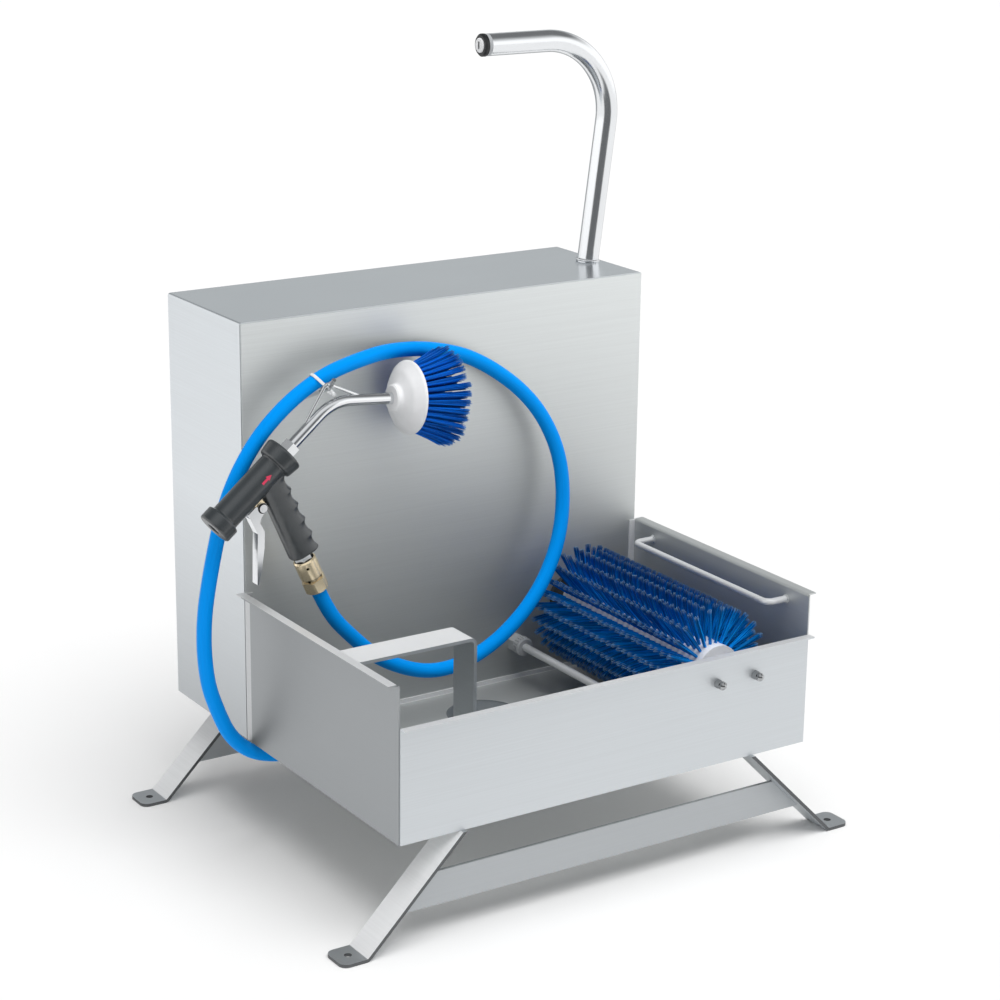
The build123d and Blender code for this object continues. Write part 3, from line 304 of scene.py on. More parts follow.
def circle(radius, sides):
    """Round section: r cos u, r sin u."""
    u = np.linspace(0, 2 * np.pi, sides, endpoint=False)
    return radius * np.stack([np.cos(u), np.sin(u)], axis=-1)


def spokes(first, second, sides):
    """Unit vectors evenly round an axis: cos u e1 + sin u e2."""
    return circle(1.0, sides) @ np.stack([first, second])


def squared_circle(sides, power):
    """Section between a circle and a square: each of cos u and sin u keeps its sign, and its size is raised
    to a power."""
    section = circle(1.0, sides)
    return np.sign(section) * np.abs(section) ** power


def tuft_disc(count):
    """Even spread of points on a unit disc: radius sqrt((k + 0.5) / n), turned by the golden angle each."""
    k = np.arange(count)
    radius = np.sqrt((k + 0.5) / count)
    turn = k * math.pi * (3 - math.sqrt(5))
    return np.stack([radius * np.cos(turn), radius * np.sin(turn)], axis=-1)


def brush(name, roots, tips, bend, radius, rings, seed):
    """Piece made of bristles: station t of a bristle is root + (tip - root) t + bend t (t - 1), with a
    three-cornered ring of radius r (1 - 0.25 t^3) round it, and a flat end. Its vertices carry the bristle's
    own tint and their height for the material to read, both from 0 to 1."""
    sides = 3
    rng = np.random.default_rng(seed)
    count = len(roots)
    t = np.linspace(0, 1, rings)[None, :, None]
    middle = roots[:, None] + (tips - roots)[:, None] * t + bend[:, None] * t * (t - 1)
    _, first, second = square_axes(tips - roots)
    turn = rng.uniform(0, 2 * np.pi, (count, 1)) + np.arange(sides) * 2 * np.pi / sides
    ring = np.cos(turn)[..., None] * first[:, None] + np.sin(turn)[..., None] * second[:, None]
    taper = radius * (1 - 0.25 * t ** 3)[..., None]
    vertices = (middle[:, :, None] + taper * ring[:, None]).reshape(-1, 3)
    start = np.arange(count)[:, None, None] * rings * sides
    walls = (start + np.array(grid_faces(rings, sides, wrap_columns=True))).reshape(-1, 4)
    ends = np.arange(count)[:, None] * rings * sides + (rings - 1) * sides + np.arange(sides)
    piece = link_mesh(name, vertices, walls.tolist() + ends.tolist())
    values = {
        "tint": np.repeat(rng.uniform(0, 1, count), rings * sides),
        "height": np.tile(np.repeat(np.linspace(0, 1, rings), sides), count),
    }
    for key, numbers in values.items():
        attribute = piece.data.attributes.new(key, "FLOAT", "POINT")
        attribute.data.foreach_set("value", numbers.astype(np.float32))
    piece.data.shade_smooth()
    return piece


class Nodes:
    """A node tree that is built up socket by socket."""

    def __init__(self, tree):
        self.tree = tree

    def feed(self, socket, value):
        """Link an output to a socket, or set the socket's own value."""
        if isinstance(value, bpy.types.NodeSocket):
            self.tree.links.new(value, socket)
        elif hasattr(value, "__len__") and len(value) == 3 and socket.type == "RGBA":
            socket.default_value = (*value, 1.0)
        else:
            socket.default_value = value

    def add(self, kind, inputs=(), **settings):
        """New node with its settings and its input sockets fed."""
        node = self.tree.nodes.new(kind)
        for name, value in settings.items():
            setattr(node, name, value)
        for name, value in dict(inputs).items():
            self.feed(node.inputs[name], value)
        return node

    def place(self, scale=(1, 1, 1), source="Object"):
        """Coordinates of the piece, scaled."""
        coordinates = self.add("ShaderNodeTexCoord").outputs[source]
        mapping = self.add("ShaderNodeMapping", {"Vector": coordinates, "Scale": scale})
        return mapping.outputs["Vector"]

    def noise(self, scale, detail=3.0, source="Object"):
        """Noise between 0 and 1 over the scaled coordinates of the piece."""
        sockets = {"Vector": self.place(scale, source), "Scale": 1.0, "Detail": detail}
        return self.add("ShaderNodeTexNoise", sockets).outputs["Fac"]

    def part(self, vector, axis):
        """One coordinate of a vector."""
        return self.add("ShaderNodeSeparateXYZ", {"Vector": vector}).outputs[axis]

    def depth(self):
        """The piece's y coordinate, from front to back."""
        return self.part(self.place(), "Y")

    def span(self, value, low, high, start=0.0, end=1.0):
        """Value mapped from start..end to low..high."""
        sockets = {"Value": value, "From Min": start, "From Max": end, "To Min": low, "To Max": high}
        return self.add("ShaderNodeMapRange", sockets).outputs["Result"]

    def vary(self, noise, low, high):
        """Noise mapped from the range it mostly keeps to, to low..high."""
        return self.span(noise, low, high, 0.3, 0.7)

    def maths(self, operation, first, second=0.0):
        """One arithmetic step."""
        return self.add("ShaderNodeMath", {0: first, 1: second}, operation=operation).outputs[0]

    def vector(self, operation, first, second=(0, 0, 0), output="Vector"):
        """One step of vector arithmetic."""
        sockets = {0: first, 1: tuple(second)}
        return self.add("ShaderNodeVectorMath", sockets, operation=operation).outputs[output]

    def shade(self, colour, factor):
        """Colour multiplied by a factor that a texture gives."""
        sockets = {0: tuple(colour), "Scale": factor}
        return self.add("ShaderNodeVectorMath", sockets, operation="SCALE").outputs["Vector"]

    def mix(self, factor, first, second):
        """Blend of two colours."""
        sockets = {0: factor, 6: first, 7: second}
        return self.add("ShaderNodeMix", sockets, data_type="RGBA").outputs[2]

    def between(self, factor, first, second):
        """Blend of two numbers."""
        return self.add("ShaderNodeMix", {"Factor": factor, "A": first, "B": second}).outputs["Result"]

    def attribute(self, name):
        """Number stored on the piece's vertices."""
        return self.add("ShaderNodeAttribute", attribute_name=name).outputs["Fac"]

    def bounced(self):
        """1 for light that comes by way of another piece, and 0 for what is seen directly."""
        path = self.add("ShaderNodeLightPath").outputs
        return self.maths("MAXIMUM", path["Is Glossy Ray"], path["Is Diffuse Ray"])

    def panels(self, way):
        """1 towards two broad light panels and 0 elsewhere, and f: with f and s the parts of a direction
        towards and across the gap between the panels, they lie where |s| > 0.78 f and |s| > -0.8 f."""
        middle = math.radians(PANEL_HEADING)
        towards = (-math.sin(middle), -math.cos(middle), 0.0)
        across = (math.cos(middle), -math.sin(middle), 0.0)
        f = self.vector("DOT_PRODUCT", way, towards, "Value")
        s = self.maths("ABSOLUTE", self.vector("DOT_PRODUCT", way, across, "Value"))
        ahead = self.maths("SUBTRACT", s, self.maths("MULTIPLY", f, 0.78))
        behind = self.maths("ADD", s, self.maths("MULTIPLY", f, 0.80))
        past_gap = self.span(ahead, 0.0, 1.0, -0.08, 0.08)
        past_wall = self.span(behind, 0.0, 1.0, -0.1, 0.1)
        return self.maths("MULTIPLY", past_gap, past_wall), f


class Finish(Nodes):
    """A node material."""

    def __init__(self, name, **shader):
        self.material = bpy.data.materials.new(name)
        self.material.use_nodes = True
        super().__init__(self.material.node_tree)
        self.shader = self.tree.nodes["Principled BSDF"]
        for socket, value in shader.items():
            self.give(socket.replace("_", " "), value)

    def give(self, socket, value):
        """Feed a socket of the shader."""
        self.feed(self.shader.inputs[socket], value)

    def bump(self, height, distance, strength):
        """Bump from a height between 0 and 1, a distance deep."""
        sockets = {"Height": height, "Distance": distance, "Strength": strength}
        self.give("Normal", self.add("ShaderNodeBump", sockets).outputs["Normal"])


def sheet_steel(
    name,
    colour,
    rough=0.46,
    metallic=0.86,
    tone_level=1.0,
    flat_grain=False,
    top_rough=None,
    light=None,
    rear=None,
    painted_light_metallic=0.45,
    painted_shade_below=None,
    painted_shade_edges=False,
):
    """Brushed sheet: fine lines on upright faces, with flat_grain on those that look up too, and soft clouds.
    Light says where a painted highlight makes the sheet paler: the "top", faces that "slope", or all that lies
    behind a y, and with rear a strip behind that y. Below a height the sheet is painted darker towards the
    bottom as painted shade. Dark edges are its upright faces, painted darker as painted shade."""
    finish = Finish(name)
    lines = finish.noise((5.0, 5.0, 620.0), 4.0)
    upward = finish.part(finish.add("ShaderNodeNewGeometry").outputs["Normal"], "Z")
    facing = finish.maths("GREATER_THAN", upward, 0.6)
    if flat_grain:
        lines = finish.between(facing, lines, finish.noise((5.0, 620.0, 5.0), 4.0))
    clouds = finish.noise((2.2, 2.2, 2.2), 2.0)
    uneven = finish.vary(clouds, -0.03, 0.03)
    fine = finish.vary(lines, rough - 0.04, rough + 0.04)
    if top_rough:
        fine = finish.between(facing, fine, top_rough)
    finish.give("Roughness", finish.maths("ADD", fine, uneven))
    streaks = finish.vary(lines, 0.965, 1.02)
    level = finish.maths("MULTIPLY", streaks, finish.span(clouds, 0.98, 1.015))
    # Painted shade: the sheet darkens towards the bottom, to 0.66 at 0.16 m, and is full above this height.
    if painted_shade_below:
        height = finish.part(finish.place(), "Z")
        level = finish.maths("MULTIPLY", level, finish.span(height, 0.66, 1.0, 0.16, painted_shade_below))
    # Painted shade: upright faces darken to 0.22 of their tone.
    if painted_shade_edges:
        upright = finish.maths("LESS_THAN", finish.maths("ABSOLUTE", upward), 0.3)
        level = finish.maths("MULTIPLY", level, finish.span(upright, 1.0, 0.22))
    tone = finish.shade(tinted(colour, tone_level, tone_level, tone_level), level)
    finish.give("Metallic", metallic)
    # Painted highlight: the chosen faces blend towards a pale grey and turn less metallic.
    if light:
        if light == "top":
            painted_light_mask = facing
        elif light == "slope":
            painted_light_mask = finish.maths("MULTIPLY", facing, finish.maths("LESS_THAN", upward, 0.95))
        else:
            painted_light_mask = finish.maths("GREATER_THAN", finish.depth(), light)
        # Painted highlight at about half strength on the strip behind the rear y.
        if rear:
            strip = finish.maths("GREATER_THAN", finish.depth(), rear)
            painted_light_mask = finish.maths("MAXIMUM", painted_light_mask, finish.maths("MULTIPLY", strip, 0.55))
        tone = finish.mix(painted_light_mask, tone, finish.shade((0.86, 0.87, 0.88), level))
        finish.give("Metallic", finish.span(painted_light_mask, metallic, painted_light_metallic))
    finish.give("Base Color", tone)
    finish.bump(lines, 0.00002, 0.35)
    return finish.material


def metal(
    name,
    colour,
    rough,
    wear=0.05,
    scale=(90.0, 90.0, 90.0),
    tone=(0.98, 1.01),
    metallic=1.0,
    bump=None,
    bore=None,
):
    """Metal with uneven polish: in spots, or in lines along a bar where the scale differs by axis. The bump
    is that distance deep. Nearer to the grip's axis than a bore's radius the metal is painted nearly black,
    as painted shade inside the bore."""
    finish = Finish(name, Metallic=metallic)
    noise = finish.noise(scale)
    finish.give("Roughness", finish.vary(noise, rough, rough + wear))
    shown = finish.shade(colour, finish.vary(noise, *tone))
    if bump:
        finish.bump(noise, bump, 0.5)
    # Painted shade: inside the bore the colour turns nearly black.
    if bore:
        offset = finish.vector("SUBTRACT", finish.place(), GUN)
        near = finish.vector("LENGTH", finish.vector("CROSS_PRODUCT", offset, GRIP), output="Value")
        shown = finish.mix(finish.span(near, 1.0, 0.0, bore, bore + 0.0004), shown, (0.02, 0.018, 0.015))
    finish.give("Base Color", shown)
    return finish.material


def moulded(name, colour, rough):
    """Moulded plastic or rubber: fine grain in the surface, and a slightly uneven tone."""
    finish = Finish(name, Specular_IOR_Level=0.45)
    fine = finish.noise((900.0, 900.0, 900.0), 2.0)
    broad = finish.noise((38.0, 38.0, 38.0))
    finish.give("Base Color", finish.shade(colour, finish.vary(broad, 0.95, 1.05)))
    finish.give("Roughness", finish.vary(fine, rough - 0.05, rough + 0.06))
    finish.bump(fine, 0.00002, 0.5)
    return finish.material


def bristle_finish(name, colour, level=1.0, tip=(0.16, 0.42, 0.88)):
    """Brush filament: each one a little lighter or darker, and paler at its end, a painted glint on the cut tips.
    """
    finish = Finish(name, Roughness=0.34, Specular_IOR_Level=0.22)
    own = finish.span(finish.attribute("tint"), 0.55 * level, 1.25 * level)
    # Painted glint: the last tenth of each bristle blends towards the pale tip colour.
    end = finish.span(finish.attribute("height"), 0.0, 1.0, 0.90, 1.0)
    tone = finish.mix(finish.maths("MULTIPLY", end, 0.75), finish.shade(colour, own), tip)
    finish.give("Base Color", tone)
    return finish.material


def hose_finish(name, colour):
    """Satin hose cover: faint draw lines along it, and grey in mirrored and scattered light."""
    finish = Finish(name, Specular_IOR_Level=0.06)
    lines = finish.noise((1.5, 40.0, 1.0), 3.0, "UV")
    grain = finish.noise((700.0, 700.0, 700.0), 2.0)
    tone = finish.shade(colour, finish.vary(lines, 0.95, 1.05))
    finish.give("Base Color", finish.mix(finish.bounced(), tone, (0.28, 0.30, 0.32)))
    finish.give("Roughness", finish.vary(grain, 0.34, 0.46))
    finish.bump(lines, 0.00004, 0.4)
    return finish.material


def clear_nylon(name):
    """Milky nylon."""
    finish = Finish(name, Base_Color=linear(246, 248, 250), Transmission_Weight=0.12, IOR=1.5)
    cloud = finish.noise((300.0, 300.0, 300.0), 2.0)
    finish.give("Roughness", finish.vary(cloud, 0.22, 0.34))
    return finish.material


class WASHER_OT_stage(bpy.types.Operator):
    """Set the camera, the pale floor, the white surroundings and the soft light"""

    bl_idname = "washer.stage"
    bl_label = "Stage"

    # Sun: strength, spread in degrees, and the way towards it
    SUN_ENERGY = 2.3
    SUN_SPREAD = 55.0
    SUN_WAY = (0.02, -0.32, 1.0)

    # Half width of the floor in metres
    FLOOR_REACH = 40.0

    # Linear colours: the floor, and the surroundings for the camera and for matt faces
    FLOOR = (0.97, 0.97, 0.97)
    WHITE = (1.0, 1.0, 1.0)
    EVEN = (0.36, 0.36, 0.36)

    # Linear colours that mirroring faces show, the near ones towards the gap between the light panels
    PANEL = (1.25, 1.25, 1.25)
    NEAR_FLOOR = (0.15, 0.155, 0.16)
    FAR_FLOOR = (0.36, 0.37, 0.38)
    NEAR_WALL = (0.16, 0.165, 0.17)
    FAR_WALL = (0.56, 0.58, 0.59)
    NEAR_CEILING = (0.82, 0.83, 0.84)
    FAR_CEILING = (0.19, 0.195, 0.20)

    def execute(self, context):
        self.look(context)
        self.ground()
        self.surround(context)
        sun = bpy.data.lights.new("sun", "SUN")
        sun.energy = self.SUN_ENERGY
        sun.angle = math.radians(self.SUN_SPREAD)
        light = bpy.data.objects.new("sun", sun)
        light.matrix_world = Vector(self.SUN_WAY).to_track_quat("Z", "Y").to_matrix().to_4x4()
        light.visible_glossy = False
        context.scene.collection.objects.link(light)
        context.scene.view_settings.view_transform = "Standard"
        return {"FINISHED"}

    def look(self, context):
        """Camera at its place, turned from +Y towards +X, tilted down, and rolled."""
        camera = bpy.data.cameras.new("camera")
        camera.lens = CAMERA_LENS
        camera.sensor_width = CAMERA_SENSOR
        viewer = bpy.data.objects.new("camera", camera)
        heading = Matrix.Rotation(math.radians(-CAMERA_HEADING), 4, "Z")
        pitch = Matrix.Rotation(math.radians(90 - CAMERA_PITCH), 4, "X")
        roll = Matrix.Rotation(math.radians(CAMERA_ROLL), 4, "Z")
        viewer.matrix_world = Matrix.Translation(CAMERA_PLACE) @ heading @ pitch @ roll
        context.scene.collection.objects.link(viewer)
        context.scene.camera = viewer

    def ground(self):
        """Pale floor, which mirroring faces show darker between the light panels, away from the washer."""
        reach = self.FLOOR_REACH
        corners = np.array([(-reach, -reach, 0), (reach, -reach, 0), (reach, reach, 0), (-reach, reach, 0)])
        floor = link_mesh("floor", corners, [(0, 1, 2, 3)])
        pale = Finish("pale_floor", Roughness=0.9, Specular_IOR_Level=0.0)
        place = pale.place()
        lit, near = pale.panels(pale.vector("NORMALIZE", place))
        away = pale.span(pale.vector("LENGTH", place, output="Value"), 0.0, 1.0, 1.3, 1.7)
        unlit = pale.maths("MULTIPLY", away, pale.maths("SUBTRACT", 1.0, lit))
        mirrored = pale.add("ShaderNodeLightPath").outputs["Is Glossy Ray"]
        dim = pale.mix(pale.span(near, 0.0, 1.0, -0.3, 0.3), self.FAR_FLOOR, self.NEAR_FLOOR)
        pale.give("Base Color", pale.mix(pale.maths("MULTIPLY", mirrored, unlit), self.FLOOR, dim))
        floor.data.materials.append(pale.material)

    def surround(self, context):
        """White world for the camera, even light for matt faces, and for mirroring faces two light panels
        between a dark wall and a grey one, under a ceiling that is light on the dark wall's side."""
        world = bpy.data.worlds.new("surround")
        world.use_nodes = True
        world.node_tree.nodes.clear()
        nodes = Nodes(world.node_tree)
        way = nodes.add("ShaderNodeTexCoord").outputs["Generated"]
        lit, near = nodes.panels(way)
        wall = nodes.mix(nodes.span(near, 1.0, 0.0, -0.7, -0.4), self.NEAR_WALL, self.FAR_WALL)
        ring = nodes.mix(lit, wall, self.PANEL)
        ceiling = nodes.mix(nodes.span(near, 0.0, 1.0, 0.05, 0.45), self.FAR_CEILING, self.NEAR_CEILING)
        room = nodes.mix(nodes.span(nodes.part(way, "Z"), 0.0, 1.0, 0.36, 0.62), ring, ceiling)
        path = nodes.add("ShaderNodeLightPath").outputs
        mirrored = nodes.maths("MAXIMUM", path["Is Glossy Ray"], path["Is Transmission Ray"])
        colour = nodes.mix(path["Is Camera Ray"], nodes.mix(mirrored, self.EVEN, room), self.WHITE)
        shown = nodes.add("ShaderNodeBackground", {"Color": colour, "Strength": 1.0})
        nodes.add("ShaderNodeOutputWorld", {"Surface": shown.outputs["Background"]})
        context.scene.world = world


class WASHER_OT_hose(bpy.types.Operator):
    """Make the wash hose along its route"""

    bl_idname = "washer.hose"
    bl_label = "Hose"

    # Corners of the section, and how far the texture's coordinate runs from end to end
    SIDES = 40
    TEXTURE_RUN = 20

    # Points in metres between which the hose passes from the housing's motion to the gun's
    STAYS = (0.0, 0.0, 0.13)
    GOES = (0.0, 0.0, 0.40)

    def route(self, context):
        """Points along the smooth curve that the control points shape."""
        curve = bpy.data.curves.new("hose_route", "CURVE")
        curve.dimensions = "3D"
        curve.resolution_u = 10
        spline = curve.splines.new("NURBS")
        spline.points.add(len(HOSE_ROUTE) - 1)
        for point, place in zip(spline.points, HOSE_ROUTE):
            point.co = (*place, 1.0)
        spline.order_u = 3
        spline.use_endpoint_u = True
        route = bpy.data.objects.new("hose_route", curve)
        context.scene.collection.objects.link(route)
        context.view_layer.update()
        line = bpy.data.meshes.new_from_object(route.evaluated_get(context.evaluated_depsgraph_get()))
        bpy.data.objects.remove(route)
        return np.array([vertex.co for vertex in line.vertices])

    def execute(self, context):
        diameter = context.scene.washer_sizes.hose
        sides = self.SIDES
        path = self.route(context)
        points, faces = carried(path, circle(diameter / 2, sides), np.array([0.0, 1.0, 0.0]))
        ends = [np.arange(sides)[::-1].tolist(), ((len(path) - 1) * sides + np.arange(sides)).tolist()]
        piece = link_mesh("wash_hose", points, faces + ends)
        steps = np.linalg.norm(np.diff(path, axis=0), axis=1)
        along = np.concatenate([[0.0], np.cumsum(steps)])
        corner = np.zeros(len(piece.data.loops), int)
        piece.data.loops.foreach_get("vertex_index", corner)
        run = along[corner // sides] / along[-1] * self.TEXTURE_RUN
        places = np.stack([run, (corner % sides) / sides], axis=-1)
        layer = piece.data.uv_layers.new(name="UVMap")
        layer.data.foreach_set("uv", places.astype(np.float32).ravel())
        piece.data.shade_smooth()
        piece.data.set_sharp_from_angle(angle=math.radians(50))
        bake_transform(piece, "washer", "wash_gun", start=self.STAYS, end=self.GOES)
        colour = context.scene.washer_colours.hose
        dress(piece, hose_finish("hose_cover", colour), "washer", ("hose",))
        return {"FINISHED"}


class WASHER_OT_roller_brush(bpy.types.Operator):
    """Make the roller's tufts of bristles"""

    bl_idname = "washer.roller_brush"
    bl_label = "Roller bristles"

    # In metres: shift of the rows along the core, depth of the roots, spread of a tuft's roots and tips, how
    # much shorter all bristles and a tuft's outer ones are, and lean of the end tufts
    ROW_SHIFT = 0.003
    ROOT_DEPTH = 0.001
    ROOT_SPREAD = 0.0021
    TIP_SPREAD = 0.0042
    TRIM = 0.0008
    EDGE_TRIM = 0.0012
    END_LEAN = 0.006

    def execute(self, context):
        sizes = context.scene.washer_sizes
        rng = np.random.default_rng(7)
        low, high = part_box("roller_core")
        axis_place = np.array(joints["roller_spin"]["pos_m"])
        middle = (low.y + high.y) / 2 + self.ROW_SHIFT
        root_radius = (high.z - low.z) / 2 - self.ROOT_DEPTH
        counts = (sizes.roller_rows, sizes.roller_tufts, sizes.roller_strands)
        row, place, k = [index.ravel() for index in np.indices(counts)]
        disc = tuft_disc(sizes.roller_strands)[k]
        lean = rng.normal(0, 0.10, (*counts[:2], 2))[row, place]
        turn = sizes.roller_gap + 2 * np.pi / sizes.roller_rows * (row + 0.5)
        outward = np.stack([np.cos(turn), np.zeros_like(turn), np.sin(turn)], axis=-1)
        around = np.stack([-np.sin(turn), np.zeros_like(turn), np.cos(turn)], axis=-1)
        along = np.array([0.0, 1.0, 0.0])
        half = (sizes.roller_tufts - 1) / 2
        offset = place - half
        base = axis_place * [1, 0, 1] + (middle + sizes.roller_pitch * offset)[:, None] * along
        shift = disc + rng.normal(0, 0.12, disc.shape) + lean
        uneven = np.abs(rng.normal(0, 0.0011, len(k))) + self.EDGE_TRIM * (disc ** 2).sum(-1)
        length = sizes.roller_tip - self.TRIM - uneven
        end_lean = np.sign(offset) * np.clip(np.abs(offset) - half + 2, 0, 2) / 2 * self.END_LEAN
        roots = base + outward * root_radius
        roots = roots + (around * disc[:, :1] + along * disc[:, 1:]) * self.ROOT_SPREAD
        tips = base + outward * length[:, None]
        tips = tips + (around * shift[:, :1] + along * shift[:, 1:]) * self.TIP_SPREAD
        tips = tips + along * end_lean[:, None]
        bend = around * rng.normal(0, 0.0016, (len(k), 1)) + along * rng.normal(0, 0.0016, (len(k), 1))
        piece = brush("roller_brush", roots, tips, bend, sizes.strand / 2, rings=3, seed=3)
        colour = tinted(context.scene.washer_colours.bristle, 1.0, 1.3, 0.8)
        # (0.44, 0.70, 0.95) is the pale colour of the painted glint at the bristle ends.
        finish = bristle_finish("roller_filament", colour, 1.45, (0.44, 0.70, 0.95))
        dress(piece, finish, "roller", ("roller_bristles",))
        return {"FINISHED"}


class WASHER_OT_hand_brush(bpy.types.Operator):
    """Make the splayed bristles of the hand brush"""

    bl_idname = "washer.hand_brush"
    bl_label = "Hand-brush bristles"

    # Tufts in each ring, and the way the brush points, in degrees
    RINGS = (6, 12, 18, 26, 34)
    LANCE_ANGLE = -5.2

    # In metres: depth of the roots in the head, spread of a tuft's roots and tips, how much shorter the outer
    # ring is, and the outward bow of its bristles
    ROOT_DEPTH = 0.001
    ROOT_SPREAD = 0.0019
    TIP_SPREAD = 0.0042
    EDGE_TRIM = 0.006
    BOW = 0.006

    # Thickness of a bristle as a share of the roller's
    THINNER = 0.64

    def execute(self, context):
        sizes = context.scene.washer_sizes
        rng = np.random.default_rng(11)
        axis = direction(self.LANCE_ANGLE)
        upward = direction(self.LANCE_ANGLE + 90)
        sideways = np.array([0.0, 1.0, 0.0])
        places = np.array([vertex.co for vertex in frame["nodes"]["brush_head"].data.vertices])
        centre = (places.min(axis=0) + places.max(axis=0)) / 2
        face = centre + axis * ((places - centre) @ axis).max()
        counts = np.array(self.RINGS)
        ring = np.repeat(np.arange(len(counts)), counts)
        number = np.concatenate([np.arange(count) for count in counts])
        turn = 2 * np.pi * (number + 0.5 * (ring % 2)) / counts[ring]
        tuft = np.repeat(np.arange(len(ring)), sizes.hand_strands)
        k = np.tile(np.arange(sizes.hand_strands), len(ring))
        disc = tuft_disc(sizes.hand_strands)[k]
        radial = np.cos(turn)[:, None] * upward + np.sin(turn)[:, None] * sideways
        side = np.cross(radial, axis)
        share = (ring + 1) / len(counts)
        radius = sizes.hand_ring * (ring + 1)
        root = face + radial * radius[:, None] - axis * self.ROOT_DEPTH
        reach = sizes.hand_length - self.EDGE_TRIM * share ** 2 + rng.normal(0, 0.0012, len(ring))
        splay = sizes.hand_splay * share + rng.normal(0, 0.0012, len(ring))
        tip = face + radial * splay[:, None] + axis * reach[:, None]
        spread = disc + rng.normal(0, 0.16, disc.shape)
        trim = np.abs(rng.normal(0, 0.0022, len(k)))
        roots = root[tuft] + (radial[tuft] * disc[:, :1] + side[tuft] * disc[:, 1:]) * self.ROOT_SPREAD
        tips = tip[tuft] + (radial[tuft] * spread[:, :1] + side[tuft] * spread[:, 1:]) * self.TIP_SPREAD
        tips = tips - unit(tip - root)[tuft] * trim[:, None]
        bend = radial[tuft] * (self.BOW * share[tuft] + rng.normal(0, 0.001, len(k)))[:, None]
        piece = brush("hand_brush", roots, tips, bend, sizes.strand / 2 * self.THINNER, rings=4, seed=5)
        finish = bristle_finish("hand_filament", context.scene.washer_colours.bristle)
        dress(piece, finish, "wash_gun", ("hand_bristles",))
        return {"FINISHED"}


